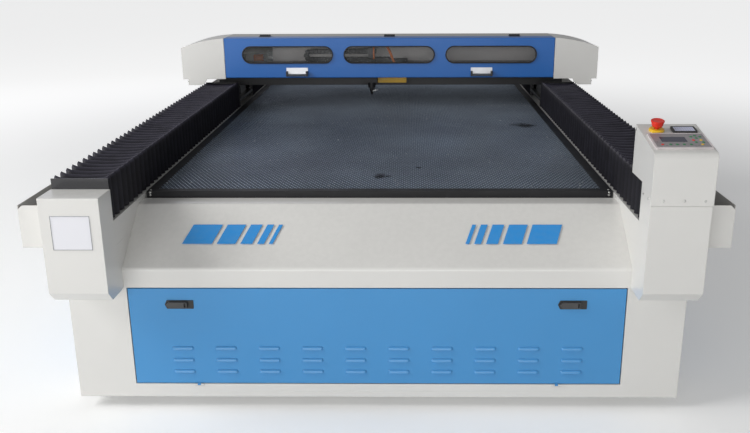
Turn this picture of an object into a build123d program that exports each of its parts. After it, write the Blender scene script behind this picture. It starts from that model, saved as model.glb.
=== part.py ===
from build123d import *
import os
from math import atan2, cos, degrees, radians, sin

# A flatbed laser cutting and engraving machine with a gantry that travels over the bed.
# Lengths are in millimetres. X runs across the machine, Y from its front to its back, Z up.
# The origin is on the floor, under the middle of the machine.

# Cabinet
cabinet_half_width = 982
cabinet_half_length = 1869
foot_height = 40
foot_radius = 30
sheet = 2
bend_radius = 3
fold_height = 489
fold_radius = 15
apron_run = 218
ledge_height = 640
ledge_depth = 85
clearance = 0.3

# Base frame
frame_tube = 60
header_height = 40
header_drop = 8
end_upright_inset = 249

# Side beams and the posts at their ends
beam_width = 180
beam_top = 657
beam_height = 80
beam_reach = 27
post_reach = 131
post_top = 757
post_bottom = 426
post_chamfer_run = 32
post_chamfer_rise = 33

# Front door
door_side = 191
door_bottom = 90
door_height = 333
door_gap = 3
door_depth = 18
louvre_width = 64
louvre_height = 10
louvre_reach = 5
louvre_pitch = 140
louvre_columns = 10
louvre_rows = (133, 174, 216)
door_hinge_radius = 3
door_hinge_length = 30
door_hinge_pin = 1.2
door_hinge_inset = 206
pin_play = 0.1

# Door locks
lock_inset = 165
lock_offset = 20
lock_height = 369
lock_plate_length = 92
lock_plate_height = 29
lock_plate_back = 22
lock_plate_point = 7
lever_length = 64
lever_thickness = 7
spindle_radius = 6
cam_length = 70
cam_thickness = 3

# Service covers and extraction outlets
cover_half_width = 480
cover_bottom = 110
cover_height = 300
cover_depth = 10
cover_lap = 20
duct_radius = 75
duct_length = 80
duct_inset = 137
duct_height = 300
duct_flange = 15

# Bed
bed_bar = 30
bed_top = 661
bed_bar_height = 84
bed_side_gap = 4
honeycomb_depth = 30
honeycomb_drop = 2
cell_pitch = 144
cell_wall = 14
cell_depth = 13
cell_margin = 45
cross_bar_width = 30
cross_bar_height = 20
cross_bar_pitch = 245

# Bellows
bellows_half_width = 87
bellows_top = 790
bellows_lift = 3
fold_depth = 18
fold_count = 44
cloth = 2.5
end_plate = 3

# Guide rails, belts and pulleys under the bellows
rail_width = 20
rail_height = 20
rail_shortfall = 106
rail_inset = 15
block_width = 44
block_length = 77
block_height = 30
block_inset = 40
pulley_radius = 26
pulley_width = 25
pulley_inset = 42
pulley_flange = 2.5
belt_offset = 38
belt_thickness = 3
belt_gap = 5
idler_pin_radius = 5
motor_shaft_radius = 4
bracket_sheet = 4
motor_size = 56
motor_length = 60

# Cable trays and chains
tray_width = 100
tray_reach = 21
tray_wall_height = 135
tray_corner = 14
chain_width = 60
chain_height = 30
chain_bend_radius = 41
chain_pitch = 46
chain_bend_y = -610
chain_fixed_y = 40
chain_arm_width = 40

# Gantry
gantry_front = 81
hood_flat_depth = 270
hood_depth = 510
hood_bottom = 817
hood_top = 1027
hood_rear_height = 900
hood_inset = 122
hood_lip = 22
cap_overhang = 3
cap_drop = 48
cap_curve_width = 235
cap_curve_run = 105
cap_curve_fall = 16.5
cap_wall = 3
tab_bottom = 786
tab_lap = 22
tab_reach = 76
tab_curve = 37
carriage_setback = 69
carriage_length = 380
carriage_plate = 15
riser_half_length = 80
gantry_beam_setback = 249
gantry_beam_depth = 120
gantry_beam_bottom = 750
gantry_beam_height = 120
gantry_beam_inset = 32
shelf_thickness = 5

# Hood door
hood_gap = 2
hood_door_rise = 6
hood_door_top_depth = 110
hood_door_lip = 15
window_inset = 330
window_bridge = 60
window_height = 84
window_z = 942
pane = 3
pane_margin = 10
pull_inset = 378
pull_z = 853
pull_width = 112
pull_height = 45
pull_reach = 22
hood_hinge_inset = 200
hood_hinge_rise = 5
hood_hinge_radius = 4.5
hood_hinge_length = 56
hood_hinge_pin = 2
hinge_leaf = 2.5
hinge_leaf_depth = 34
hinge_leaf_start = 8

# Laser tube and mirrors
tube_radius = 40
tube_neck_radius = 14
tube_side_gap = 80
tube_setback = 434
beam_path_z = 880
mirror_side_gap = 5
mirror_size = 40

# Head drive
cross_rail_rise = 50
cross_rail_depth = 15
cross_rail_end_gap = 50
cross_pulley_end_gap = 25
cross_pulley_radius = 12
cross_pulley_pin = 4
cross_shaft_radius = 3
cross_belt_gap = 18
cross_belt_rise = 102
cross_belt_width = 12

# Laser head
head_x = -100
lens_setback = 180
lens_tube_radius = 20
lens_bore = 1
nozzle_tip_z = 707
nozzle_radius = 4
head_plate_gap = 28
head_plate_thickness = 12
head_left = 60
head_right = 195
bearing_length = 55
clamp_half_width = 30
head_chain_bend_x = -440
head_chain_setback = 70
head_chain_radius = 40
head_chain_height = 25
head_chain_width = 35
arm_sheet = 6
hose_radius = 4

# Control box and what it carries
box_seam = 733
box_front_height = 889
box_back_height = 932
box_depth = 221
box_lap = 3
box_overhang = 795
box_bend = 20
cheek_drop = 15
keypad_x_offset = 4
keypad_width = 168
keypad_depth = 110
keypad_start = 30
keypad_thickness = 6
keypad_rim = 6
status_width = 72
status_depth = 44
status_thickness = 6
status_inset = 50
status_gap = 10
stop_inset = 132
stop_distance = 171
collar_radius = 23
collar_height = 8
collar_chamfer = 3
stop_head_radius = 20
stop_stem_radius = 8
stop_travel = 5

# Laser supply
supply_plate_half_width = 300
supply_half_width = 160
supply_depth = 100
supply_height = 160
supply_rise = 120
supply_slots = 13
supply_slot_pitch = 20

# Worked out from the sizes above: the cabinet and its beams
upright_pitch = (cabinet_half_length - end_upright_inset) / 1.5
beam_inner = cabinet_half_width - beam_width
beam_bottom = beam_top - beam_height
post_front = cabinet_half_length + post_reach
post_back = cabinet_half_length + beam_reach
tray_end = post_back + tray_reach
apron_slope = (ledge_height - fold_height) / apron_run
apron_at_beam = cabinet_half_length - (beam_bottom - fold_height) / apron_slope
door_half_width = cabinet_half_width - door_side
door_hinge_x = door_half_width - door_hinge_inset
hinge_y = -cabinet_half_length - door_hinge_radius
hinge_z = door_bottom - door_gap - 1
lock_x = door_half_width - lock_inset
lock_places = (-lock_x + lock_offset, lock_x + lock_offset)
cover_stations = (-1.1 * upright_pitch, 0, 1.1 * upright_pitch)
duct_x = beam_inner - duct_inset
bed_half_width = beam_inner - bed_side_gap
bed_half_length = cabinet_half_length - apron_run - ledge_depth

# Worked out: the guide ways
guide_x = cabinet_half_width - beam_width / 2
hem = beam_top + bellows_lift
rail_x = guide_x - rail_inset
rail_half_length = post_back - rail_shortfall
belt_x = guide_x + belt_offset
block_top = beam_top + block_height
belt_inner_radius = pulley_radius + clearance
pulley_z = beam_top + belt_gap + belt_thickness + belt_inner_radius
pulley_y = post_back - pulley_inset
chain_top = beam_bottom + sheet + clearance + 2 * chain_bend_radius + chain_height + clearance

# Worked out: the gantry and its hood
carriage_front = gantry_front + carriage_setback
carriage_back = carriage_front + carriage_length
carriage_top = block_top + carriage_plate
arm_y = carriage_front + carriage_length / 2
gantry_beam_half_length = cabinet_half_width - gantry_beam_inset
gantry_beam_front = gantry_front + gantry_beam_setback
gantry_beam_back = gantry_beam_front + gantry_beam_depth
gantry_beam_top = gantry_beam_bottom + gantry_beam_height
hood_back = gantry_front + hood_depth
hood_half_width = cabinet_half_width - hood_inset
cap_half_width = cabinet_half_width + tray_width + cap_overhang
window_pitch = hood_half_width - window_inset
window_width = window_pitch - window_bridge
window_places = (-window_pitch, 0, window_pitch)
pull_x = hood_half_width - pull_inset
hood_hinge_pitch = hood_half_width - hood_hinge_inset
hood_hinge_places = (-hood_hinge_pitch, 0, hood_hinge_pitch)
hood_hinge_y = gantry_front + hood_door_top_depth
hood_hinge_z = hood_top + hood_hinge_rise
tube_half_length = hood_half_width - tube_side_gap
tube_y = gantry_front + tube_setback
mirror_x = hood_half_width - mirror_side_gap
shelf_top = hood_bottom + shelf_thickness

# Worked out: the head and its drive
lens_y = gantry_front + lens_setback
cross_rail_low = gantry_beam_bottom + cross_rail_rise
cross_rail_half_length = gantry_beam_half_length - cross_rail_end_gap
cross_pulley_x = gantry_beam_half_length - cross_pulley_end_gap
cross_belt_y = gantry_beam_front - cross_belt_gap
cross_belt_z = gantry_beam_bottom + cross_belt_rise
head_back = gantry_beam_front - head_plate_gap
head_front = head_back - head_plate_thickness
head_chain_y = gantry_beam_front + head_chain_setback
head_chain_top = gantry_beam_top + clearance + 2 * head_chain_radius + head_chain_height

# Worked out: the control box
box_back = post_front - box_depth
box_right = cabinet_half_width + box_lap
slope_angle = degrees(atan2(box_back_height - box_front_height, box_depth))
keypad_x = guide_x + keypad_x_offset
keypad_middle = keypad_start + keypad_depth / 2
status_x = cabinet_half_width - status_inset
status_distance = keypad_start + keypad_depth + status_gap + status_depth / 2
stop_x = cabinet_half_width - stop_inset


def block(x0, x1, y0, y1, z0, z1):
    """A block between two corners."""
    centre = Pos((x0 + x1) / 2, (y0 + y1) / 2, (z0 + z1) / 2)
    return centre * Box(abs(x1 - x0), abs(y1 - y0), abs(z1 - z0))


def side_profile(points, x0, x1, radius=0):
    """A closed outline in the YZ plane, drawn out along X, with its corners rounded."""
    outline = make_face(Polyline(*points, close=True))
    if radius:
        outline = fillet(outline.vertices(), radius)
    return Pos(x0, 0, 0) * extrude(Plane.YZ * outline, x1 - x0)


def bent_sheet(points, x0, x1, radius=bend_radius):
    """A folded sheet: its middle line in the YZ plane, drawn out along X."""
    line = FilletPolyline(*points, radius=radius)
    return Pos(x0, 0, 0) * extrude(Plane.YZ * trace(line, sheet), x1 - x0)


def rod_x(x0, x1, y, z, radius):
    """A round rod along X."""
    return Pos((x0 + x1) / 2, y, z) * Rot(0, 90, 0) * Cylinder(radius, abs(x1 - x0))


def rod_y(x, y0, y1, z, radius):
    """A round rod along Y."""
    return Pos(x, (y0 + y1) / 2, z) * Rot(90, 0, 0) * Cylinder(radius, abs(y1 - y0))


def rod_z(x, y, z0, z1, radius):
    """An upright round rod."""
    return Pos(x, y, (z0 + z1) / 2) * Cylinder(radius, abs(z1 - z0))


def group(solids):
    """Separate solids that are one named part."""
    return Compound(children=[s for s in solids])


def left_and_right(shape):
    """The shape and its mirror image on the other side of the machine."""
    return group([shape, mirror(shape, about=Plane.YZ)])


def on_slope(x, distance):
    """A place on the sloping top of the control box, that far up from its front edge."""
    base = Plane(origin=(x, -post_front, box_front_height), x_dir=(1, 0, 0),
                 z_dir=(0, -sin(radians(slope_angle)), cos(radians(slope_angle))))
    return base * Pos(0, distance, 0)


# Cabinet

def base_frame():
    """The welded frame of square tube under the bed."""
    half_width = cabinet_half_width - sheet
    half_length = cabinet_half_length - sheet
    bottom = foot_height + sheet
    low = bottom + frame_tube
    top_low = beam_bottom - frame_tube
    header_top = fold_height - header_drop
    header_low = header_top - header_height
    apron_end = cabinet_half_length - apron_run
    bars = []
    for side in (-1, 1):
        outer = side * half_width
        inner = side * (half_width - frame_tube)
        bars.append(block(inner, outer, -half_length, half_length, bottom, low))
        bars.append(block(inner, outer, -apron_end, apron_end, top_low, beam_bottom))
        for end in (-1, 1):
            near = end * (half_length - frame_tube)
            bars.append(block(inner, outer, near, end * half_length, low, header_low))
    stations = [-1.5 * upright_pitch, -0.5 * upright_pitch, 0.5 * upright_pitch, 1.5 * upright_pitch]
    for y in stations:
        front = y - frame_tube / 2
        back = y + frame_tube / 2
        bars.append(block(-half_width, half_width, front, back, top_low, beam_bottom))
        for side in (-1, 1):
            inner = side * (half_width - frame_tube)
            bars.append(block(inner, side * half_width, front, back, low, top_low))
    for y in stations[1:3]:
        bars.append(block(-half_width, half_width, y - frame_tube / 2, y + frame_tube / 2, bottom, low))
    for end in (-1, 1):
        near = end * (half_length - frame_tube)
        bars.append(block(-half_width, half_width, near, end * half_length, bottom, bottom + header_height))
        bars.append(block(-half_width, half_width, near, end * half_length, header_low, header_top))
    return Part() + bars


def levelling_feet():
    """Eight round feet, each with a neck that meets the floor pan."""
    feet = []
    for x in (-1, 1):
        for y in (-1.5, -0.5, 0.5, 1.5):
            outline = Polyline((0, 0), (foot_radius, 0), (foot_radius, 8), (foot_radius - 6, 16), (16, 16),
                               (12, 20), (12, foot_height), (0, foot_height), close=True)
            foot = revolve(Plane.XZ * make_face(outline), Axis.Z)
            feet.append(Pos(x * (cabinet_half_width - sheet - frame_tube / 2), y * upright_pitch, 0) * foot)
    return group(feet)


def floor_pan():
    """The flat sheet under the frame."""
    half_width = cabinet_half_width - sheet
    half_length = cabinet_half_length - sheet
    return block(-half_width, half_width, -half_length, half_length, foot_height, foot_height + sheet)


def end_panel(hole_height, hole_half_width, hole_bottom):
    """The folded sheet at an end of the cabinet: upright, then leaning back, then level to the bed."""
    middle = sheet / 2
    front = -cabinet_half_length
    face = front + middle
    ledge = ledge_height - middle
    bed_edge = -bed_half_length - middle
    points = [(face, foot_height), (face, fold_height), (face + apron_run, ledge), (bed_edge, ledge),
              (bed_edge, ledge - 25)]
    folded = bent_sheet(points, -beam_inner, beam_inner, fold_radius)
    corner_sheets = [block(side * beam_inner, side * cabinet_half_width, front, front + sheet, foot_height,
                           fold_height) for side in (-1, 1)]
    hole_top = hole_bottom + hole_height
    hole = block(-hole_half_width, hole_half_width, front - 1, front + sheet + 1, hole_bottom, hole_top)
    lip_depth = 12
    lip = block(-hole_half_width - sheet, hole_half_width + sheet, front, front + lip_depth,
                hole_bottom - sheet, hole_top + sheet)
    lip -= block(-hole_half_width, hole_half_width, front - 1, front + lip_depth + 1, hole_bottom, hole_top)
    return (folded + corner_sheets - hole) + lip


def front_panel():
    """The front sheet with its door opening and the fixed halves of the door's two hinges."""
    panel = end_panel(door_height + 2 * door_gap, door_half_width + door_gap, door_bottom - door_gap)
    knuckles = []
    half = door_hinge_length / 2
    for x in (-door_hinge_x, door_hinge_x):
        for side in (-1, 1):
            start = x + side * (door_hinge_length / 6 + 0.5)
            knuckles.append(rod_x(start, x + side * half, hinge_y, hinge_z, door_hinge_radius))
            knuckles.append(block(start, x + side * half, hinge_y, -cabinet_half_length,
                                  hinge_z - 2 * door_hinge_radius, hinge_z))
        knuckles.append(rod_x(x - half, x + half, hinge_y, hinge_z, door_hinge_pin))
    return panel + knuckles


def rear_panel():
    """The rear sheet with its service opening and two round extraction outlets welded in."""
    panel = mirror(end_panel(cover_height, cover_half_width / 2, cover_bottom), about=Plane.XZ)
    face = cabinet_half_length
    for x in (-duct_x, duct_x):
        outlet = rod_y(x, face - sheet, face + duct_length, duct_height, duct_radius)
        flange = rod_y(x, face, face + sheet, duct_height, duct_radius + duct_flange)
        passage = rod_y(x, face - 20, face + duct_length + 1, duct_height, duct_radius - sheet)
        panel = (panel + [outlet, flange]) - passage
    return panel


def side_panels():
    """The two side sheets, each with three service openings."""
    outer = cabinet_half_width
    length = cabinet_half_length - sheet
    wall = block(outer - sheet, outer, -length, length, foot_height, beam_bottom)
    reach = cover_half_width - cover_lap
    low = cover_bottom + cover_lap
    high = cover_bottom + cover_height - cover_lap
    holes = [block(outer - sheet - 1, outer + 1, y - reach, y + reach, low, high) for y in cover_stations]
    notches = [block(outer - sheet - 1, outer + 1, end * apron_at_beam, end * cabinet_half_length,
                     fold_height, beam_bottom + 1) for end in (-1, 1)]
    return left_and_right(wall - holes - notches)


def louvre(depth):
    """A pressed louvre in a sheet that faces -Y: open below, closed at its ends."""
    top = louvre_height / 2
    outline = [(sheet, top), (0, top), (-depth, -top), (sheet, -top)]
    return side_profile(outline, -louvre_width / 2, louvre_width / 2)


def louvred(sheet_part, places):
    """The sheet with a louvre at each place of its front face."""
    inner = scale(louvre(louvre_reach), (0.96, 1, 0.8))
    shells = [place * louvre(louvre_reach) for place in places]
    slots = [place * Pos(0, sheet * 0.9, -0.5) * inner for place in places]
    return (sheet_part + shells) - slots


def service_cover(half_width):
    """A louvred cover with a turned edge, which faces -Y and stands on the panel's face."""
    inner = half_width - sheet
    tray = block(-half_width, half_width, -cover_depth, 0, 0, cover_height)
    tray -= block(-inner, inner, -cover_depth + sheet, 1, sheet, cover_height - sheet)
    rows = (0.3, 0.45, 0.6)
    columns = (-louvre_pitch, 0, louvre_pitch)
    places = [Pos(x, -cover_depth, cover_height * row) for x in columns for row in rows]
    return louvred(tray, places)


def service_covers():
    """Three covers on each side and one at the back, each screwed over its opening."""
    covers = []
    for y in cover_stations:
        for side in (-1, 1):
            at = Pos(side * cabinet_half_width, y, cover_bottom) * Rot(0, 0, side * 90)
            covers.append(at * service_cover(cover_half_width))
    at = Pos(0, cabinet_half_length, cover_bottom - 15) * Rot(0, 0, 180)
    covers.append(at * service_cover(cover_half_width / 2 + cover_lap))
    return group(covers)


def side_beams():
    """The two box beams that carry the guide rails."""
    beam = block(beam_inner, cabinet_half_width, -post_back, post_back, beam_bottom, beam_top)
    return left_and_right(beam)


def corner_post(top):
    """A folded box at a beam's end, with a chamfer under its front."""
    outline = [(-post_front, post_bottom + post_chamfer_rise), (-post_front + post_chamfer_run, post_bottom),
               (-cabinet_half_length, post_bottom), (-cabinet_half_length, fold_height),
               (-apron_at_beam, fold_height), (-apron_at_beam, beam_bottom), (-post_back, beam_bottom),
               (-post_back, top), (-post_front, top)]
    post = side_profile(outline, beam_inner, cabinet_half_width)
    long_edges = post.edges().filter_by(Axis.X).group_by(Axis.Y)[0]
    return fillet(long_edges, bend_radius)


def corner_posts():
    """The four posts. The right front one is lower, because the control box stands on it."""
    tall = corner_post(post_top)
    back = mirror(tall, about=Plane.XZ)
    return group([mirror(tall, about=Plane.YZ), corner_post(box_seam), back, mirror(back, about=Plane.YZ)])


# Front door

def front_door():
    """The door: a shallow tray of sheet with louvres, lock holes and the moving hinge knuckles."""
    face = -cabinet_half_length
    top = door_bottom + door_height
    tray = block(-door_half_width, door_half_width, face, face + door_depth, door_bottom, top)
    tray -= block(-door_half_width + sheet, door_half_width - sheet, face + sheet, face + door_depth + 1,
                  door_bottom + sheet, top - sheet)
    first = -(louvre_columns - 1) / 2 * louvre_pitch
    columns = [first + n * louvre_pitch for n in range(louvre_columns)]
    door = louvred(tray, [Pos(x, face, z) for x in columns for z in louvre_rows])
    bore = spindle_radius + clearance
    door -= [rod_y(x, face - 1, face + sheet + 1, lock_height, bore) for x in lock_places]
    half = door_hinge_length / 6
    for x in (-door_hinge_x, door_hinge_x):
        leaf = block(x - half, x + half, hinge_y, face, hinge_z, door_bottom + door_hinge_radius)
        door += [rod_x(x - half, x + half, hinge_y, hinge_z, door_hinge_radius), leaf]
        door -= rod_x(x - half - 1, x + half + 1, hinge_y, hinge_z, door_hinge_pin + pin_play)
    return door


def lock_plates():
    """The two flat lock plates, pointed at their left ends."""
    half = lock_plate_height / 2
    right = lock_plate_back
    left = right - lock_plate_length
    outline = Polyline((left, 0), (left + lock_plate_point, half), (right, half), (right, -half),
                       (left + lock_plate_point, -half), close=True)
    face = fillet(make_face(outline).vertices(), 2)
    plate = extrude(Plane.XZ * face, sheet) - rod_y(0, -5, 5, 0, spindle_radius + clearance)
    return group([Pos(x, -cabinet_half_length, lock_height) * plate for x in lock_places])


def lock_spindle(x):
    """The turning part of a lock: the head that carries the lever, the shaft and the cam behind the door."""
    face = -cabinet_half_length
    lever_face = face - sheet - clearance
    cam_y = face + door_depth + 3
    shaft = rod_y(x, lever_face, cam_y, lock_height, spindle_radius)
    head = block(x - 4, x + 4, lever_face - lever_thickness - clearance, lever_face, lock_height - 7.3,
                 lock_height + 7.3)
    pin = rod_z(x, lever_face - lever_thickness / 2 - clearance, lock_height - 10, lock_height + 10, 1.5)
    cam = block(x - 8, x + cam_length, cam_y, cam_y + cam_thickness, lock_height - 8, lock_height + 8)
    return Part() + [shaft, head, pin, fillet(cam.edges().filter_by(Axis.Y), 6)]


def lock_lever(x):
    """The lever that lies over the lock plate and swings out on the spindle's cross pin."""
    lever_face = -cabinet_half_length - sheet - clearance
    middle = lever_face - lever_thickness / 2 - clearance
    half = lever_thickness / 2
    bar = block(x - lever_length, x, middle - half, middle + half, lock_height - 10, lock_height + 10)
    bar += rod_z(x, middle, lock_height - 10, lock_height + 10, half)
    bar = chamfer(bar.edges().filter_by(Axis.Y).group_by(Axis.X)[0], 9)
    bar -= block(x - 7, x + 10, middle - 10, middle + 10, lock_height - 7.6, lock_height + 7.6)
    return bar - rod_z(x, middle, lock_height - 12, lock_height + 12, 1.55)


# Bed

def bed_frame():
    """The black frame round the table."""
    low = bed_top - bed_bar_height
    outer = block(-bed_half_width, bed_half_width, -bed_half_length, bed_half_length, low, bed_top)
    inner = block(-bed_half_width + bed_bar, bed_half_width - bed_bar, -bed_half_length + bed_bar,
                  bed_half_length - bed_bar, low - 1, bed_top + 1)
    return outer - inner


def honeycomb():
    """The honeycomb table: a panel whose top is open in six-sided cells, much larger than the foil's."""
    half_width = bed_half_width - bed_bar
    half_length = bed_half_length - bed_bar
    top = bed_top - honeycomb_drop
    panel = block(-half_width, half_width, -half_length, half_length, top - honeycomb_depth, top)
    across = int(2 * (half_width - cell_margin) / (cell_pitch * sin(radians(60))))
    along = int(2 * (half_length - cell_margin) / cell_pitch)
    outline = RegularPolygon((cell_pitch - cell_wall) / 2, 6, major_radius=False)
    cell = Pos(0, 0, top - cell_depth) * extrude(outline, cell_depth + 1)
    return panel - [place * cell for place in HexLocations(cell_pitch / 2, across, along)]


def bed_bars():
    """The cross bars that carry the honeycomb."""
    half_width = bed_half_width - bed_bar
    half = cross_bar_width / 2
    count = int((bed_half_length - bed_bar - half) / cross_bar_pitch)
    top = bed_top - honeycomb_drop - honeycomb_depth
    bar = block(-half_width, half_width, -half, half, top - cross_bar_height, top)
    return group([Pos(0, n * cross_bar_pitch, 0) * bar for n in range(-count, count + 1)])


# Guide ways under the bellows

def y_rails():
    """The two guide rails."""
    half = rail_width / 2
    side = [(half, 0), (half, rail_height * 0.3), (half * 0.6, rail_height * 0.5),
            (half, rail_height * 0.75), (half, rail_height)]
    other = [(-x, z) for x, z in reversed(side)]
    outline = Polyline(*side, *other, close=True)
    rail = extrude(Plane.XZ * make_face(outline), rail_half_length, both=True)
    return left_and_right(Pos(rail_x, 0, beam_top) * rail)


def belt(half_length, inner_radius, width):
    """A flat belt loop round two pulleys, in the plane x = 0."""
    outer = SlotCenterToCenter(2 * half_length, 2 * (inner_radius + belt_thickness))
    inner = SlotCenterToCenter(2 * half_length, 2 * inner_radius)
    return extrude(Plane.YZ * (outer - inner), width / 2, both=True)


def y_belts():
    """The drive belts, one over each beam."""
    return left_and_right(Pos(belt_x, 0, pulley_z) * belt(pulley_y, belt_inner_radius, pulley_width - 5))


def pulley(radius, width, bore):
    """A flanged pulley with its axis along X."""
    half = width / 2
    rim = radius + pulley_flange
    seat = half - 2
    outline = Polyline((bore, -half), (rim, -half), (rim, -seat), (radius, -seat), (radius, seat),
                       (rim, seat), (rim, half), (bore, half), close=True)
    return Rot(0, 90, 0) * revolve(Plane.XZ * make_face(outline), Axis.Z)


def front_idlers():
    """The idler pulleys at the front ends of the belts."""
    wheel = pulley(pulley_radius, pulley_width, idler_pin_radius + 0.05)
    return left_and_right(Pos(belt_x, -pulley_y, pulley_z) * wheel)


def rear_pulleys():
    """The drive pulleys, each with its motor shaft."""
    half = pulley_width / 2
    wheel = pulley(pulley_radius, pulley_width, motor_shaft_radius)
    wheel += rod_x(-half - 12, half, 0, 0, motor_shaft_radius)
    return left_and_right(Pos(belt_x, pulley_y, pulley_z) * wheel)


def idler_brackets():
    """The brackets that hold the idlers: a plate on each side and a pin through both."""
    inner = belt_x - pulley_width / 2 - 1
    outer = belt_x + pulley_width / 2 + 1
    left = inner - bracket_sheet
    right = outer + bracket_sheet
    bracket = block(left, right, -pulley_y - 20, -pulley_y + 20, beam_top, beam_top + bracket_sheet)
    for x in (left, outer):
        bracket += block(x, x + bracket_sheet, -pulley_y - 12, -pulley_y + 12, beam_top, pulley_z + 12)
    return left_and_right(bracket + rod_x(left, right, -pulley_y, pulley_z, idler_pin_radius))


def y_motors():
    """The gantry motors, each on a foot on its beam, with a bore for the pulley shaft."""
    end = belt_x - pulley_width / 2 - 4
    start = end - motor_length
    half = motor_size / 2
    body = block(start, end, pulley_y - half, pulley_y + half, pulley_z - half, pulley_z + half)
    body = chamfer(body.edges().filter_by(Axis.X), 4)
    foot = block(start, end, pulley_y - half - 6, pulley_y + half + 6, beam_top, pulley_z - half)
    bore = rod_x(end - 10, end + 1, pulley_y, pulley_z, motor_shaft_radius + 0.2)
    return left_and_right(body + foot - bore)


def bellows_section(y, inset):
    """The upside-down U of a bellows at one place along it, that far inside its ridges."""
    half = bellows_half_width - inset
    top = bellows_top - inset
    points = [(-half, hem), (-half, top), (half, top), (half, hem), (half - cloth, hem),
              (half - cloth, top - cloth), (-half + cloth, top - cloth), (-half + cloth, hem)]
    upright = Plane(origin=(0, y, 0), x_dir=(1, 0, 0), z_dir=(0, -1, 0))
    return upright * make_face(Polyline(*points, close=True))


def bellows(y0, y1):
    """A folded cover from y0 to y1: straight cloth between ridges and valleys."""
    step = (y1 - y0) / (2 * fold_count)
    sections = [bellows_section(y0 + n * step, fold_depth * (n % 2 == 0)) for n in range(2 * fold_count + 1)]
    return Pos(guide_x, 0, 0) * loft(sections, ruled=True)


def end_plates():
    """The plates that hold the outer ends of the bellows."""
    left = guide_x - bellows_half_width
    right = guide_x + bellows_half_width
    behind_post = post_back - end_plate
    plate = block(left, right, -post_back, -behind_post, beam_top, bellows_top)
    pair = [plate, mirror(plate, about=Plane.XZ)]
    return group(pair + [mirror(p, about=Plane.YZ) for p in pair])


# Cable trays and chains

def cable_trays():
    """The open trays outside the beams, with rounded end plates."""
    left = cabinet_half_width
    right = cabinet_half_width + tray_width
    low = beam_bottom
    top = low + tray_wall_height
    tray = block(left, right, -tray_end, tray_end, low, low + sheet)
    tray += block(left, left + sheet, -post_back, post_back, low, beam_top)
    tray += block(right - sheet, right, -tray_end, tray_end, low, top)
    outline = Polyline((left, low), (right, low), (right, top - tray_corner), (right - tray_corner, top),
                       (left, top), close=True)
    corners = make_face(outline).vertices().group_by(Axis.X)
    end = extrude(Plane.XZ * fillet([corners[-1][-1], corners[-2][0]], tray_corner / 2), sheet)
    tray += [Pos(0, -tray_end + sheet, 0) * end, Pos(0, tray_end, 0) * end]
    return left_and_right(tray)


def chain_band(bend, fixed_end, moving_end, radius, height, width):
    """A drag chain in the plane x = 0: a lower run, a bend and an upper run, grooved between its links."""
    outer = radius + height / 2
    inner = radius - height / 2
    middle = bend + outer
    lower = make_face(Polyline((middle, -outer), (fixed_end, -outer), (fixed_end, -inner), (middle, -inner),
                               close=True))
    upper = make_face(Polyline((middle, inner), (moving_end, inner), (moving_end, outer), (middle, outer),
                               close=True))
    ring = Pos(middle, 0) * (Circle(outer) - Circle(inner)) & Pos(bend, 0) * Rectangle(2 * outer, 3 * outer)
    band = extrude(Plane.YZ * (lower + upper + ring), width / 2, both=True)
    grooves = []
    for run_end, side in ((fixed_end, -1), (moving_end, 1)):
        for n in range(1, int((run_end - middle) / chain_pitch) + 1):
            y = middle + n * chain_pitch
            grooves.append(block(-width, width, y - 2, y + 2, side * (outer - 4), side * (outer + 1)))
    return band - grooves


def cable_chains():
    """The cable chains in the trays, from the middle of the tray to the gantry's arm."""
    radius = chain_bend_radius
    moving_end = arm_y + chain_arm_width / 2
    chain = chain_band(chain_bend_y, chain_fixed_y, moving_end, radius, chain_height, chain_width)
    x = cabinet_half_width + tray_width / 2
    z = beam_bottom + sheet + clearance + radius + chain_height / 2
    return left_and_right(Pos(x, 0, z) * chain)


# Gantry

def gantry_beam():
    """The black cross beam, its rear shelf and the pin of the belt idler."""
    half = gantry_beam_half_length
    beam = block(-half, half, gantry_beam_front, gantry_beam_back, gantry_beam_bottom, gantry_beam_top)
    shelf_half = hood_half_width
    shelf = block(-shelf_half, shelf_half, gantry_beam_back, hood_back - sheet, hood_bottom, shelf_top)
    pin = rod_y(cross_pulley_x, cross_belt_y - 12, gantry_beam_front, cross_belt_z, cross_pulley_pin)
    return beam + shelf + pin


def gantry_feet():
    """What carries the beam on each side: bearings, plate, riser, bellows frames and the chain's arm."""
    left = guide_x - bellows_half_width
    right = guide_x + bellows_half_width
    middle = (gantry_beam_front + gantry_beam_back) / 2
    plate = block(left, right, carriage_front, carriage_back, block_top, carriage_top)
    riser = block(rail_x - 45, rail_x + 30, middle - riser_half_length, middle + riser_half_length,
                  carriage_top, gantry_beam_bottom)
    foot = plate + riser
    inner = left + fold_depth
    outer = right - fold_depth
    for y in (carriage_front, carriage_back - end_plate):
        frame = block(left, right, y, y + end_plate, hem, bellows_top)
        frame -= block(inner, outer, y - 1, y + end_plate + 1, hem - 1, block_top)
        frame -= block(inner, outer, y - 1, y + end_plate + 1, carriage_top, bellows_top - fold_depth)
        foot += frame
    half = block_width / 2
    slot = rail_width / 2 + clearance
    slot_top = beam_top + rail_height + clearance
    for y in (carriage_front + block_inset, carriage_back - block_inset - block_length):
        bearing = block(rail_x - half, rail_x + half, y, y + block_length, beam_top + 4, block_top)
        foot += bearing - block(rail_x - slot, rail_x + slot, y - 1, y + block_length + 1, beam_top, slot_top)
    run_bottom = pulley_z + belt_inner_radius
    run_top = run_bottom + belt_thickness
    jaw_left = belt_x - 16
    jaw_right = belt_x + 16
    front = middle - 30
    back = middle + 30
    jaw = block(jaw_left, jaw_right, front, back, carriage_top, run_bottom - clearance)
    jaw += block(jaw_left, jaw_left + 5, front, back, carriage_top, run_top + 6)
    jaw += block(jaw_left, jaw_right, front, back, run_top + clearance, run_top + 6)
    arm_end = cabinet_half_width + (tray_width + chain_width) / 2
    reach = chain_arm_width / 2
    arm = block(right, arm_end, arm_y - reach, arm_y + reach, chain_top, carriage_top)
    return left_and_right(foot + jaw + arm)


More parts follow.
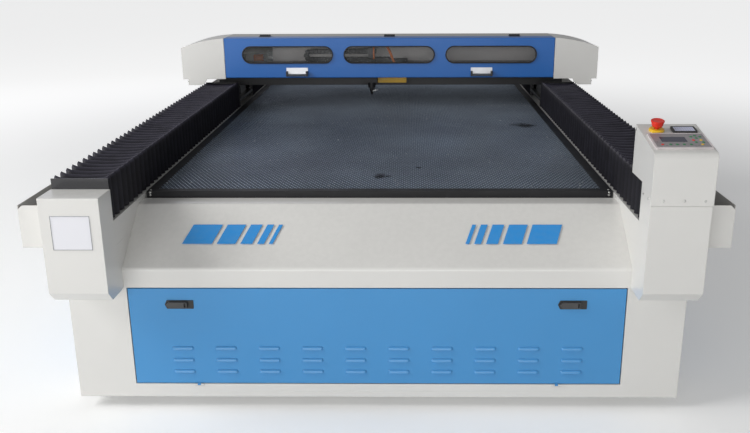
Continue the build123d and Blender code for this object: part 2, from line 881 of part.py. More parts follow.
def hood_outline(inset):
    """The end view of the hood, that far inside its outer faces, open to below."""
    front = gantry_front + inset
    top = hood_top - inset
    back = hood_back - inset
    low = hood_bottom - 40 * (inset > 0)
    return [(front, low), (front, top), (gantry_front + hood_flat_depth - inset * 0.3, top),
            (back, hood_rear_height - inset * 0.3), (back, low)]


def hood_shell():
    """The top and rear sheet of the hood, with a turned edge behind the door's hinges."""
    middle = sheet / 2
    front = hood_hinge_y + hood_gap + middle
    top = hood_top - middle
    back = hood_back - middle
    line = [(front, top - hood_lip), (front, top), (gantry_front + hood_flat_depth, top),
            (back, hood_rear_height), (back, hood_bottom)]
    return bent_sheet(line, -hood_half_width, hood_half_width)


def cap_body(inset):
    """An end cap's outer form: the hood's outline cut by a top that falls away to the side."""
    opening = 30 * (inset > 0)
    long_outline = side_profile(hood_outline(inset), hood_half_width - opening, cap_half_width + 30)
    top = hood_top - inset
    outer = cap_half_width - inset
    start = outer - cap_curve_width
    low = hood_bottom - 60
    edge = top - cap_drop
    curve = ThreePointArc((outer, edge), (outer - cap_curve_run, top - cap_curve_fall), (start, top))
    face = make_face(Polyline((start, top), (0, top), (0, low), (outer, low), (outer, edge)) + curve)
    across = extrude(Plane.XZ * face, hood_back + 50, both=True)
    return long_outline & across


def end_caps():
    """The white end caps: open below and towards the hood, with a rounded tab under the front."""
    left = cabinet_half_width - tab_lap
    right = cabinet_half_width + tab_reach
    foot = left + tab_curve
    top = hood_bottom + 10
    curve = ThreePointArc((foot, tab_bottom), (left + 10, tab_bottom + 12), (left, hood_bottom))
    edge = Polyline((left, hood_bottom), (left, top), (right, top), (right, tab_bottom), (foot, tab_bottom))
    plate = Pos(0, gantry_front + cap_wall, 0) * extrude(Plane.XZ * make_face(edge + curve), cap_wall)
    shell = cap_body(0) - cap_body(cap_wall)
    return left_and_right(shell + plate)


def hood_door():
    """The hood's front and the front of its top in one folded sheet, with three window openings."""
    half = hood_half_width - hood_gap
    face = gantry_front + sheet / 2
    low = hood_bottom + hood_door_rise + sheet / 2
    top = hood_top - sheet / 2
    line = [(gantry_front + hood_door_lip, low), (face, low), (face, top), (hood_hinge_y - hood_gap, top)]
    opening = extrude(Plane.XZ * SlotOverall(window_width, window_height), -2 * sheet)
    openings = [Pos(x, gantry_front - 1, window_z) * opening for x in window_places]
    return bent_sheet(line, -half, half) - openings


def windows():
    """The three clear panes behind the openings."""
    shape = SlotOverall(window_width + 2 * pane_margin, window_height + 2 * pane_margin)
    window = extrude(Plane.XZ * shape, -pane)
    return group([Pos(x, gantry_front + sheet, window_z) * window for x in window_places])


def pulls():
    """Two aluminium pulls: a plate on the door, folded out below into a lip for the fingers."""
    face = gantry_front - sheet / 2
    high = pull_z + pull_height / 2
    low = pull_z - pull_height / 2 + sheet
    line = [(face, high), (face, low + 12), (face - pull_reach + 6, low), (face - pull_reach, low + 12)]
    return group([bent_sheet(line, x - pull_width / 2, x + pull_width / 2) for x in (-pull_x, pull_x)])


def hood_hinges():
    """The fixed leaves on the hood's top, each with two knuckles and the pin."""
    hinges = []
    half = hood_hinge_length / 2
    near = hood_hinge_y + hinge_leaf_start
    high = hood_top + hinge_leaf
    for x in hood_hinge_places:
        hinge = block(x - half, x + half, near, hood_hinge_y + hinge_leaf_depth, hood_top, high)
        hinge += rod_x(x - half, x + half, hood_hinge_y, hood_hinge_z, hood_hinge_pin)
        for side in (-1, 1):
            start = x + side * (hood_hinge_length / 6 + 0.5)
            hinge += rod_x(start, x + side * half, hood_hinge_y, hood_hinge_z, hood_hinge_radius)
            hinge += block(start, x + side * half, hood_hinge_y, near, hood_top + 0.5, high)
        hinges.append(hinge)
    return group(hinges)


def hinge_leaves():
    """The moving leaves on the door's top, each with its middle knuckle."""
    leaves = []
    half = hood_hinge_length / 2
    third = hood_hinge_length / 6
    near = hood_hinge_y - hinge_leaf_start
    high = hood_top + hinge_leaf
    for x in hood_hinge_places:
        leaf = block(x - half, x + half, hood_hinge_y - hinge_leaf_depth, near, hood_top, high)
        leaf += block(x - third, x + third, near, hood_hinge_y, hood_top + 0.5, high)
        leaf += rod_x(x - third, x + third, hood_hinge_y, hood_hinge_z, hood_hinge_radius)
        leaves.append(leaf - rod_x(x - third - 1, x + third + 1, hood_hinge_y, hood_hinge_z,
                                   hood_hinge_pin + pin_play))
    return group(leaves)


# Laser tube and optics

def laser_tube():
    """The sealed glass tube, with its narrower ends."""
    half = tube_half_length
    neck = tube_neck_radius
    outline = Polyline((0, -half), (neck, -half), (neck, -half + 60), (tube_radius, -half + 75),
                       (tube_radius, half - 75), (neck, half - 60), (neck, half), (0, half), close=True)
    tube = revolve(Plane.XZ * make_face(outline), Axis.Z)
    return Pos(0, tube_y, beam_path_z) * Rot(0, 90, 0) * tube


def mirror_mount(y, stem):
    """A mirror block with its adjusting knob on top, and the stem that carries it."""
    half = mirror_size / 2
    top = beam_path_z + half
    head = block(-mirror_x - half, -mirror_x + half, y - half, y + half, top - mirror_size + 2, top)
    head = chamfer(head.edges().filter_by(Axis.Z), 8)
    return head + rod_z(-mirror_x, y, top, top + 8, 12) + stem


def optics_mounts():
    """Three ring holders for the tube and the two fixed mirror mounts."""
    mounts = []
    for x in (-tube_half_length * 0.75, 0, tube_half_length * 0.75):
        ring = rod_x(x - 10, x + 10, tube_y, beam_path_z, tube_radius + 8)
        ring += block(x - 10, x + 10, tube_y - 25, tube_y + 25, shelf_top, beam_path_z)
        mounts.append(ring - rod_x(x - 11, x + 11, tube_y, beam_path_z, tube_radius + clearance))
    low = beam_path_z - mirror_size / 2 + 3
    column = block(-mirror_x - 5, -mirror_x + 5, tube_y - 15, tube_y + 15, shelf_top, low)
    bracket = block(-mirror_x - 8, -mirror_x + 8, lens_y, gantry_beam_front + 30, gantry_beam_top,
                    gantry_beam_top + 4)
    return group(mounts + [mirror_mount(tube_y, column), mirror_mount(lens_y, bracket)])


def cross_rail():
    """The rail on the beam's front face."""
    half = cross_rail_half_length
    front = gantry_beam_front - cross_rail_depth
    return block(-half, half, front, gantry_beam_front, cross_rail_low, cross_rail_low + rail_width)


def cross_belt():
    """The belt that drives the head."""
    loop = belt(cross_pulley_x, cross_pulley_radius + clearance, cross_belt_width)
    return Pos(0, cross_belt_y, cross_belt_z) * Rot(0, 0, 90) * loop


def cross_pulley(bore):
    """A small flanged pulley with its axis along Y."""
    return Rot(0, 0, 90) * pulley(cross_pulley_radius, cross_belt_width + 5, bore)


def drive_pulley():
    """The pulley on the head motor's shaft."""
    shaft = rod_y(0, -16, 6, 0, cross_shaft_radius)
    return Pos(-cross_pulley_x, cross_belt_y, cross_belt_z) * (cross_pulley(cross_shaft_radius) + shaft)


def idler_pulley():
    """The pulley that runs on the beam's pin."""
    return Pos(cross_pulley_x, cross_belt_y, cross_belt_z) * cross_pulley(cross_pulley_pin + 0.05)


def cross_motor():
    """The head motor in front of the beam, on a bracket from the beam's top."""
    half = motor_size / 2
    x = -cross_pulley_x
    back = cross_belt_y - cross_belt_width / 2 - 5
    front = back - motor_length
    top = cross_belt_z + half
    foot = gantry_beam_front + 50
    body = block(x - half, x + half, front, back, cross_belt_z - half, top)
    body = chamfer(body.edges().filter_by(Axis.Y), 4)
    bracket = block(x - half + 4, x + half, front, foot, top, top + 4)
    bracket += block(x - half + 4, x + half, gantry_beam_front, foot, gantry_beam_top, top)
    return body + bracket - rod_y(x, back - 12, back + 1, cross_belt_z, cross_shaft_radius + 0.2)


def head_chain():
    """The chain that carries the head's wiring, on top of the beam."""
    band = chain_band(head_chain_bend_x, 0, head_x + 20, head_chain_radius, head_chain_height,
                      head_chain_width)
    z = gantry_beam_top + clearance + head_chain_radius + head_chain_height / 2
    return Pos(0, head_chain_y, z) * Rot(0, 0, -90) * band


# Laser head

def head_carriage():
    """The plate on the cross rail: its bearing blocks, lens clamp, mirror block, belt jaws and chain arm."""
    head = block(head_x - head_left, head_x + head_right, head_front, head_back, gantry_beam_bottom + 10,
                 gantry_beam_top + 30)
    rail_top = cross_rail_low + rail_width
    for x in (head_x - 50, head_x + 130):
        bearing = block(x, x + bearing_length, head_back, gantry_beam_front - 2, cross_rail_low - 13,
                        rail_top + 13)
        bearing -= block(x - 1, x + bearing_length + 1, gantry_beam_front - cross_rail_depth - clearance,
                         gantry_beam_front, cross_rail_low - clearance, rail_top + clearance)
        head += bearing
    clamp = block(head_x - clamp_half_width, head_x + clamp_half_width, lens_y - 26, head_front,
                  nozzle_tip_z + 68, nozzle_tip_z + 108)
    clamp -= rod_z(head_x, lens_y, nozzle_tip_z, beam_path_z, lens_tube_radius + clearance)
    half = mirror_size / 2
    mirror_block = block(head_x - half, head_x + half, lens_y - half, head_front, beam_path_z - 18,
                         beam_path_z + half)
    mirror_block -= rod_x(head_x - half - 1, head_x, lens_y, beam_path_z, 8)
    run = cross_belt_z + cross_pulley_radius + clearance
    above = run + belt_thickness
    near = gantry_beam_front - 10
    jaws = block(head_x + 40, head_x + 90, head_back, near, run - 6, run - clearance)
    jaws += block(head_x + 40, head_x + 90, head_back, near, above + clearance, above + 5)
    low = head_chain_top + clearance
    high = low + arm_sheet
    arm = block(head_x - 20, head_x + 20, head_front, head_front + arm_sheet, gantry_beam_top, high)
    arm += block(head_x - 20, head_x + 20, head_front, head_chain_y + head_chain_width / 2, low, high)
    return head + [clamp, mirror_block, jaws, arm]


def head_plate():
    """The thin yellow plate on the front of the head carriage."""
    low = nozzle_tip_z + 61
    return block(head_x + 32, head_x + head_right - 6, head_front - sheet, head_front, low, low + 62)


def lens_tube():
    """The lens tube with its nozzle, which slides in the clamp to set the focus."""
    tip = nozzle_tip_z
    top = tip + 133
    outline = Polyline((lens_bore, tip), (nozzle_radius, tip), (12, tip + 26), (12, tip + 34),
                       (lens_tube_radius, tip + 40), (lens_tube_radius, top), (lens_bore, top), close=True)
    return Pos(head_x, lens_y, 0) * revolve(Plane.XZ * make_face(outline), Axis.Z)


def air_hose():
    """The orange air hose, from the chain arm down to its fitting on the mirror block."""
    x = head_x + 12
    top = head_chain_top - 10
    low = beam_path_z + mirror_size / 2
    front = head_front - 16
    route = FilletPolyline((x, head_front, top), (x, front, top), (x, front, low), radius=12)
    return sweep(Plane(origin=route @ 0, z_dir=route % 0) * Circle(hose_radius), path=route)


# Control box

def control_box():
    """The sheet box on the right front post, with a sloping top and cheeks beside the bellows."""
    outline = [(-post_front, box_seam), (-post_front, box_front_height), (-box_back, box_back_height),
               (-box_back, box_overhang), (-post_back, box_overhang), (-post_back, box_seam)]
    box = side_profile(outline, beam_inner, box_right)
    front_edge = box.edges().filter_by(Axis.X).sort_by_distance((guide_x, -post_front, box_front_height))[0]
    box = fillet(front_edge, box_bend)
    for x in (beam_inner, box_right - sheet):
        box += block(x, x + sheet, -post_back, -box_back, box_overhang - cheek_drop, box_overhang)
    well = on_slope(stop_x, stop_distance) * Pos(0, 0, -15) * Cylinder(stop_stem_radius + 2, 40)
    return box - well


def keypad_frame():
    """The raised frame of the keypad unit."""
    frame = Box(keypad_width, keypad_depth, keypad_thickness)
    frame = fillet(frame.edges().filter_by(Axis.Z), 5)
    pocket = Box(keypad_width - 2 * keypad_rim, keypad_depth - 2 * keypad_rim, 2)
    frame -= Pos(0, 0, keypad_thickness / 2) * pocket
    return on_slope(keypad_x, keypad_middle) * Pos(0, 0, keypad_thickness / 2) * frame


def keypad_overlay():
    """The flat front of the keypad, set in its frame."""
    overlay = Box(keypad_width - 2 * keypad_rim, keypad_depth - 2 * keypad_rim, 1)
    return on_slope(keypad_x, keypad_middle) * Pos(0, 0, keypad_thickness - 0.5) * overlay


def status_bezel():
    """The black bezel of the small display."""
    bezel = Box(status_width, status_depth, status_thickness)
    bezel = fillet(bezel.edges().filter_by(Axis.Z), 4)
    pocket = Box(status_width - 2 * keypad_rim, status_depth - 2 * keypad_rim, 2)
    bezel -= Pos(0, 0, status_thickness / 2) * pocket
    return on_slope(status_x, status_distance) * Pos(0, 0, status_thickness / 2) * bezel


def status_screen():
    """The pane of the small display."""
    screen = Box(status_width - 2 * keypad_rim, status_depth - 2 * keypad_rim, 1)
    return on_slope(status_x, status_distance) * Pos(0, 0, status_thickness - 0.5) * screen


def stop_collar():
    """The yellow collar of the emergency stop."""
    bore = stop_stem_radius + clearance
    outline = Polyline((bore, 0), (collar_radius, 0), (collar_radius, collar_height - collar_chamfer),
                       (collar_radius - collar_chamfer, collar_height), (bore, collar_height), close=True)
    return on_slope(stop_x, stop_distance) * revolve(Plane.XZ * make_face(outline), Axis.Z)


def stop_button():
    """The red mushroom button of the emergency stop and its stem."""
    low = collar_height + stop_travel + 2
    stem = low - 14
    side = low + 10
    crown = low + 19
    radius = stop_head_radius
    head = Polyline((0, stem), (stop_stem_radius, stem), (stop_stem_radius, low), (radius - 3, low),
                    (radius, low + 4), (radius, side))
    cap = ThreePointArc((radius, side), (radius * 0.8, low + 16), (radius / 2, crown))
    outline = make_face(head + cap + Polyline((radius / 2, crown), (0, crown), (0, stem)))
    return on_slope(stop_x, stop_distance) * revolve(Plane.XZ * outline, Axis.Z)


# Electrics behind the front door

def power_supply():
    """The laser supply on its upright mounting plate, with cooling slots in its case."""
    back = -1.5 * upright_pitch - frame_tube / 2
    face = back - 3
    front = face - supply_depth
    low = foot_height + sheet
    case_low = low + supply_rise
    case_high = case_low + supply_height
    half = supply_plate_half_width
    plate = block(-half, half, face, back, low, beam_bottom - 20)
    foot = block(-half, half, back - 40, back, low, low + 3)
    case = block(-supply_half_width, supply_half_width, front, face, case_low, case_high)
    slot = block(-4, 4, front - 1, front + 8, case_low + 30, case_high - 30)
    middle = (supply_slots - 1) / 2
    case -= [Pos((n - middle) * supply_slot_pitch, 0, 0) * slot for n in range(supply_slots)]
    return plate + case + foot


parts = {
    "base_frame": base_frame(),
    "levelling_feet": levelling_feet(),
    "floor_pan": floor_pan(),
    "front_panel": front_panel(),
    "rear_panel": rear_panel(),
    "side_panels": side_panels(),
    "service_covers": service_covers(),
    "side_beams": side_beams(),
    "corner_posts": corner_posts(),
    "front_door": front_door(),
    "lock_plates": lock_plates(),
    "lock_spindle_left": lock_spindle(lock_places[0]),
    "lock_spindle_right": lock_spindle(lock_places[1]),
    "lock_lever_left": lock_lever(lock_places[0]),
    "lock_lever_right": lock_lever(lock_places[1]),
    "bed_frame": bed_frame(),
    "honeycomb": honeycomb(),
    "bed_bars": bed_bars(),
    "y_rails": y_rails(),
    "y_belts": y_belts(),
    "front_idlers": front_idlers(),
    "rear_pulleys": rear_pulleys(),
    "idler_brackets": idler_brackets(),
    "y_motors": y_motors(),
    "bellows_front_right": bellows(-post_back + end_plate, carriage_front),
    "bellows_rear_right": bellows(carriage_back, post_back - end_plate),
    "end_plates": end_plates(),
    "cable_trays": cable_trays(),
    "cable_chains": cable_chains(),
    "gantry_beam": gantry_beam(),
    "gantry_feet": gantry_feet(),
    "hood_shell": hood_shell(),
    "end_caps": end_caps(),
    "hood_door": hood_door(),
    "windows": windows(),
    "pulls": pulls(),
    "hood_hinges": hood_hinges(),
    "hinge_leaves": hinge_leaves(),
    "laser_tube": laser_tube(),
    "optics_mounts": optics_mounts(),
    "cross_rail": cross_rail(),
    "cross_belt": cross_belt(),
    "cross_motor": cross_motor(),
    "drive_pulley": drive_pulley(),
    "idler_pulley": idler_pulley(),
    "head_chain": head_chain(),
    "head_carriage": head_carriage(),
    "head_plate": head_plate(),
    "lens_tube": lens_tube(),
    "air_hose": air_hose(),
    "control_box": control_box(),
    "keypad_frame": keypad_frame(),
    "keypad_overlay": keypad_overlay(),
    "status_bezel": status_bezel(),
    "status_screen": status_screen(),
    "stop_collar": stop_collar(),
    "stop_button": stop_button(),
    "power_supply": power_supply(),
}
parts["bellows_front_left"] = mirror(parts["bellows_front_right"], about=Plane.YZ)
parts["bellows_rear_left"] = mirror(parts["bellows_rear_right"], about=Plane.YZ)

os.makedirs("parts", exist_ok=True)
for name, shape in parts.items():
    export_step(shape, f"parts/{name}.step")
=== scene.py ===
from math import asin, atan2, cos, pi, radians, sin, sqrt

import bmesh
import bpy
from mathutils import Matrix, Vector


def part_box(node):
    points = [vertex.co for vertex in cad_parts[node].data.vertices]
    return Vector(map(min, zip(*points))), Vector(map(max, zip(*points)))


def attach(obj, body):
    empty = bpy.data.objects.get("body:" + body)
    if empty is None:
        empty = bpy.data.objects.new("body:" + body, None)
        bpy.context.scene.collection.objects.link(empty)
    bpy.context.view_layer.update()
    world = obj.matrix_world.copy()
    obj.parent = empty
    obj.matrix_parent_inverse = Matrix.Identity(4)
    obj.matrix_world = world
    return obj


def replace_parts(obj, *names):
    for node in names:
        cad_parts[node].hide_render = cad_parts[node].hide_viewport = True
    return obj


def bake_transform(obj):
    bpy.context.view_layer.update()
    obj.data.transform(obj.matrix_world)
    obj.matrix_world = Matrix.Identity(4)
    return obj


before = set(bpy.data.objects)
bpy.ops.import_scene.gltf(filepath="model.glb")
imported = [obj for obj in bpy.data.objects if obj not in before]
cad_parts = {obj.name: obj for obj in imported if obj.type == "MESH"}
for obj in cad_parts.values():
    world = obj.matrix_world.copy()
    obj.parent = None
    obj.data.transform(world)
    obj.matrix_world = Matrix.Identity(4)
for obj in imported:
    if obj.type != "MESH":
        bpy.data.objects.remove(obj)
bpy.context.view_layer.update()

bl_info = {
    "name": "Laser Engraver Finish",
    "version": (1, 0, 0),
    "blender": (4, 5, 0),
    "location": "View3D > Sidebar > Laser Engraver",
    "description": "Dresses a laser engraving machine: paint, bellows, honeycomb, chains and controls",
    "category": "Add Mesh",
}

MM = 0.001


# Sizes and colours that a user would change

class PaintSettings(bpy.types.PropertyGroup):
    """Colours of the painted sheet and of the small parts."""
    white: bpy.props.FloatVectorProperty(
        name="Cabinet white", description="Powder coat of the cabinet, posts and caps",
        subtype="COLOR", size=3, min=0, max=1, default=(0.75, 0.74, 0.71))
    # The door's blue and the hood's blue are one paint: the door's is painted lighter as painted light, the hood's
    # darker as painted shade.
    door_blue: bpy.props.FloatVectorProperty(
        name="Door blue", description="Paint of the front door and the service covers",
        subtype="COLOR", size=3, min=0, max=1, default=(0.056, 0.29, 0.62))
    hood_blue: bpy.props.FloatVectorProperty(
        name="Hood blue", description="Paint of the hood's door",
        subtype="COLOR", size=3, min=0, max=1, default=(0.008, 0.135, 0.48))
    mark_blue: bpy.props.FloatVectorProperty(
        name="Mark blue", description="Stencil paint of the stripes on the apron",
        subtype="COLOR", size=3, min=0, max=1, default=(0.02, 0.30, 0.76))
    cloth: bpy.props.FloatVectorProperty(
        name="Bellows cloth", description="Coated cloth at the ridges of the bellows",
        subtype="COLOR", size=3, min=0, max=1, default=(0.036, 0.034, 0.048))
    honeycomb: bpy.props.FloatVectorProperty(
        name="Honeycomb", description="Weathered aluminium of the cutting table",
        subtype="COLOR", size=3, min=0, max=1, default=(0.54, 0.63, 0.76))


class BedSettings(bpy.types.PropertyGroup):
    """Sizes of the honeycomb table."""
    panels: bpy.props.IntProperty(
        name="Panels", description="Honeycomb panels side by side", min=1, max=6, default=3)
    columns: bpy.props.IntProperty(
        name="Cells across a panel", description="Cells across one panel", min=4, max=60, default=32)
    wall: bpy.props.FloatProperty(
        name="Foil", description="Width of a cell wall's top edge", unit="LENGTH",
        min=0.0001, max=0.003, default=0.0011)


class BellowsSettings(bpy.types.PropertyGroup):
    """Sizes of the folded covers over the guide ways."""
    folds: bpy.props.IntProperty(
        name="Folds", description="Folds of each bellows", min=26, max=90, default=44)
    depth: bpy.props.FloatProperty(
        name="Fold depth", description="Height of a ridge over its valley", unit="LENGTH",
        min=0.005, max=0.04, default=0.018)
    sag: bpy.props.FloatProperty(
        name="Sag", description="How far a ridge dips between its corners", unit="LENGTH",
        min=0.0, max=0.01, default=0.006)
    ear: bpy.props.FloatProperty(
        name="Ear", description="How far a ridge rises at its corners", unit="LENGTH",
        min=0.0, max=0.02, default=0.009)
    crumple: bpy.props.FloatProperty(
        name="Crumple", description="Unevenness of the cloth", unit="LENGTH",
        min=0.0, max=0.005, default=0.0022)
    thickness: bpy.props.FloatProperty(
        name="Cloth", description="Thickness of the cloth", unit="LENGTH",
        min=0.0005, max=0.004, default=0.0014)


class ChainSettings(bpy.types.PropertyGroup):
    """Sizes of the drag chains."""
    link_pitch: bpy.props.FloatProperty(
        name="Link pitch", description="Length of a link of the long chains", unit="LENGTH",
        min=0.01, max=0.08, default=0.030)
    small_pitch: bpy.props.FloatProperty(
        name="Small link pitch", description="Length of a link of the head's chain", unit="LENGTH",
        min=0.01, max=0.06, default=0.020)


class StageSettings(bpy.types.PropertyGroup):
    """The floor and the light."""
    floor: bpy.props.FloatVectorProperty(
        name="Floor", description="Colour of the floor", subtype="COLOR", size=3, min=0, max=1,
        default=(0.86, 0.86, 0.85))
    lens: bpy.props.FloatProperty(
        name="Lens", description="Focal length of the camera", unit="CAMERA", min=10, max=200, default=40.24)
    front_power: bpy.props.FloatProperty(
        name="Front light", description="Power of the large soft light in front", unit="POWER",
        min=0, max=2000, default=178)
    back_power: bpy.props.FloatProperty(
        name="Back light", description="Power of the soft light behind", unit="POWER",
        min=0, max=2000, default=20)
    side_power: bpy.props.FloatProperty(
        name="Side light", description="Power of the large soft light at the left", unit="POWER",
        min=0, max=2000, default=330)


GROUPS = {
    "engraver_paint": PaintSettings,
    "engraver_bed": BedSettings,
    "engraver_bellows": BellowsSettings,
    "engraver_chains": ChainSettings,
    "engraver_stage": StageSettings,
}


# Node trees

def put(tree, kind, inputs=None, **settings):
    """A new node with its settings, its inputs given as values or as the sockets that feed them."""
    node = tree.nodes.new(kind)
    for key, value in settings.items():
        setattr(node, key, value)
    for key, value in (inputs or {}).items():
        if isinstance(value, bpy.types.NodeSocket):
            tree.links.new(value, node.inputs[key])
        else:
            node.inputs[key].default_value = value
    return node


def calculate(tree, operation, first, second, **settings):
    """The result of a calculation with two numbers, each a value or a socket."""
    return put(tree, "ShaderNodeMath", {0: first, 1: second}, operation=operation, **settings).outputs["Value"]


def geometry_tree(name, sockets):
    """A Geometry Nodes tree with named inputs and a material. Returns it with its input sockets."""
    tree = bpy.data.node_groups.new(name, "GeometryNodeTree")
    tree.interface.new_socket("Geometry", in_out="OUTPUT", socket_type="NodeSocketGeometry")
    for socket, kind in {"Geometry": "Geometry", **sockets, "Material": "Material"}.items():
        tree.interface.new_socket(socket, in_out="INPUT", socket_type="NodeSocket" + kind)
    return tree, tree.nodes.new("NodeGroupInput").outputs


def close_tree(tree, instances, material, weld):
    """The end of every tree: instances made real, welded where they meet, and given their material."""
    shape = put(tree, "GeometryNodeRealizeInstances", {"Geometry": instances}).outputs["Geometry"]
    if weld:
        merged = put(tree, "GeometryNodeMergeByDistance", {"Geometry": shape, "Distance": weld})
        shape = merged.outputs["Geometry"]
    done = put(tree, "GeometryNodeSetMaterial", {"Geometry": shape, "Material": material})
    end = tree.nodes.new("NodeGroupOutput")
    tree.links.new(done.outputs["Geometry"], end.inputs["Geometry"])


def copies_on(tree, given, points, **turn):
    """The object Copy on each of the points, turned where a rotation is given."""
    copy = put(tree, "GeometryNodeObjectInfo", {"Object": given["Copy"]}).outputs["Geometry"]
    placed = put(tree, "GeometryNodeInstanceOnPoints", {"Points": points, "Instance": copy, **turn})
    return placed.outputs["Instances"]


def row(tree, given):
    """Copies of one object in a straight row."""
    line = put(tree, "GeometryNodeMeshLine", {"Count": given["Count"], "Offset": given["Step"]}, mode="OFFSET")
    return copies_on(tree, given, line.outputs["Mesh"])


def field(tree, given):
    """Copies of one object on a flat grid."""
    grid = put(tree, "GeometryNodeMeshGrid", {"Size X": given["Width"], "Size Y": given["Length"],
                                              "Vertices X": given["Columns"], "Vertices Y": given["Rows"]})
    return copies_on(tree, given, grid.outputs["Mesh"])


def scatter(tree, given):
    """Copies of one object at the vertices of a mesh, each turned by the attribute turn."""
    turn = put(tree, "GeometryNodeInputNamedAttribute", {"Name": "turn"}, data_type="FLOAT_VECTOR")
    return copies_on(tree, given, given["Geometry"], Rotation=turn.outputs["Attribute"])


def sweep(tree, given):
    """A section drawn along a curve."""
    section = put(tree, "GeometryNodeObjectInfo", {"Object": given["Section"]}).outputs["Geometry"]
    drawn = put(tree, "GeometryNodeCurveToMesh",
                {"Curve": given["Geometry"], "Profile Curve": section, "Fill Caps": True})
    return drawn.outputs["Mesh"]


def crumple(tree, given):
    """Uneven cloth: every point is pushed a little by a smooth fixed noise."""
    place = put(tree, "GeometryNodeInputPosition").outputs["Position"]
    stretched = put(tree, "ShaderNodeVectorMath", {0: place, 1: CRUMPLE_SCALE}, operation="MULTIPLY")
    noise = put(tree, "ShaderNodeTexNoise",
                {"Vector": stretched.outputs["Vector"], "Scale": 1.0, "Detail": 1.0})
    centred = put(tree, "ShaderNodeVectorMath", {0: noise.outputs["Color"], 1: (0.5, 0.5, 0.5)},
                  operation="SUBTRACT")
    push = put(tree, "ShaderNodeVectorMath", {0: centred.outputs["Vector"], "Scale": given["Amount"]},
               operation="SCALE")
    shape = put(tree, "GeometryNodeSetPosition",
                {"Geometry": given["Geometry"], "Offset": push.outputs["Vector"]})
    return shape.outputs["Geometry"]


CRUMPLE_SCALE = (5.0, 21.0, 5.0)
WELD = 0.02 * MM
TREES = {
    row: ("Row of copies", {"Copy": "Object", "Count": "Int", "Step": "Vector"}, WELD),
    field: ("Field of cells", {"Copy": "Object", "Columns": "Int", "Rows": "Int", "Width": "Float",
                               "Length": "Float"}, 0),
    scatter: ("Copies at places", {"Copy": "Object"}, 0),
    sweep: ("Section along a path", {"Section": "Object"}, 0),
    crumple: ("Uneven cloth", {"Amount": "Float"}, 0),
}
made_trees = {}


def grow(obj, build, **values):
    """Puts one of the trees on an object, with its inputs set by the sockets' identifiers."""
    if build not in made_trees:
        name, sockets, weld = TREES[build]
        tree, given = geometry_tree(name, sockets)
        close_tree(tree, build(tree, given), given["Material"], weld)
        made_trees[build] = tree
    tree = made_trees[build]
    modifier = obj.modifiers.new(build.__name__, "NODES")
    modifier.node_group = tree
    for item in tree.interface.items_tree:
        if item.in_out == "INPUT" and item.name in values:
            modifier[item.identifier] = values[item.name]


# Meshes

def new_object(name, data):
    """An object at the origin, in the scene's collection."""
    obj = bpy.data.objects.new(name, data)
    bpy.context.scene.collection.objects.link(obj)
    return obj


def mesh_object(name, points=((0, 0, 0),), faces=(), material=None):
    """An object of those points and faces. One point is enough where a tree makes the shape."""
    mesh = bpy.data.meshes.new(name)
    mesh.from_pydata([tuple(p) for p in points], [], list(faces))
    if material:
        mesh.materials.append(material)
    return new_object(name, mesh)


def shaped(name, build, material=None):
    """An object whose mesh is made by a function that fills a bmesh."""
    form = bmesh.new()
    build(form)
    bmesh.ops.recalc_face_normals(form, faces=form.faces)
    mesh = bpy.data.meshes.new(name)
    form.to_mesh(mesh)
    form.free()
    if material:
        mesh.materials.append(material)
    return new_object(name, mesh)


def add_box(form, low, high, bevel=0.0):
    """A box between two corners, with its edges rounded."""
    made = bmesh.ops.create_cube(form, size=1.0)["verts"]
    low, high = Vector(low), Vector(high)
    middle = (low + high) / 2
    for vert in made:
        vert.co = Vector(c * s for c, s in zip(vert.co, high - low)) + middle
    if bevel:
        edges = {e for v in made for e in v.link_edges}
        bmesh.ops.bevel(form, geom=list(edges), offset=bevel, segments=2, profile=0.5, affect="EDGES")


def add_lathe(form, outline, steps=24, matrix=Matrix.Identity(4)):
    """A turned shape: pairs of radius and height in mm, turned about Z and then placed by the matrix."""
    rings = []
    for radius, height in outline:
        turns = [2 * pi * n / steps for n in range(steps)] if radius else [0]
        rings.append([form.verts.new(matrix @ (Vector((radius * cos(t), radius * sin(t), height)) * MM))
                      for t in turns])
    for low, high in zip(rings, rings[1:]):
        for n in range(steps):
            corners = [low[n % len(low)], low[(n + 1) % len(low)],
                       high[(n + 1) % len(high)], high[n % len(high)]]
            form.faces.new(list(dict.fromkeys(corners)))


def settle(obj):
    """Turns an object with modifiers into one plain mesh at the origin."""
    graph = bpy.context.evaluated_depsgraph_get()
    mesh = bpy.data.meshes.new_from_object(obj.evaluated_get(graph), preserve_all_data_layers=True,
                                           depsgraph=graph)
    mesh.name = obj.name
    obj.modifiers.clear()
    if obj.type == "MESH":
        obj.data = mesh
        return obj
    name = obj.name
    bpy.data.objects.remove(obj)
    return new_object(name, mesh)


def discard(*objects):
    """Removes the objects that were only copied from."""
    for obj in objects:
        bpy.data.objects.remove(obj)


def shift_mesh(obj, offset):
    """Moves a mesh within its object, which stays at the origin."""
    obj.data.transform(Matrix.Translation(Vector(offset)))


def thicken(obj, thickness):
    """Gives a single skin its thickness, inwards, and settles it."""
    wall = obj.modifiers.new("wall", "SOLIDIFY")
    wall.thickness = thickness
    wall.offset = -1.0
    return settle(obj)


def smooth(obj, angle=35):
    """Smooth shading with edges that stay sharp over that angle."""
    obj.data.shade_smooth()
    form = bmesh.new()
    form.from_mesh(obj.data)
    for edge in form.edges:
        if len(edge.link_faces) == 2:
            edge.smooth = edge.calc_face_angle() < radians(angle)
    form.to_mesh(obj.data)
    form.free()
    return obj


def ride(obj, body):
    """Lets a finished piece move with a body."""
    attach(obj, body)
    return obj


def make_piece(name, build, finish, body, angle=None, matrix=None):
    """A finished piece: its shape, its place, its shading over an angle, its finish and its body."""
    obj = shaped(name, build, finishes[finish])
    if matrix:
        obj.data.transform(matrix)
    if angle:
        smooth(obj, angle)
    return ride(obj, body)


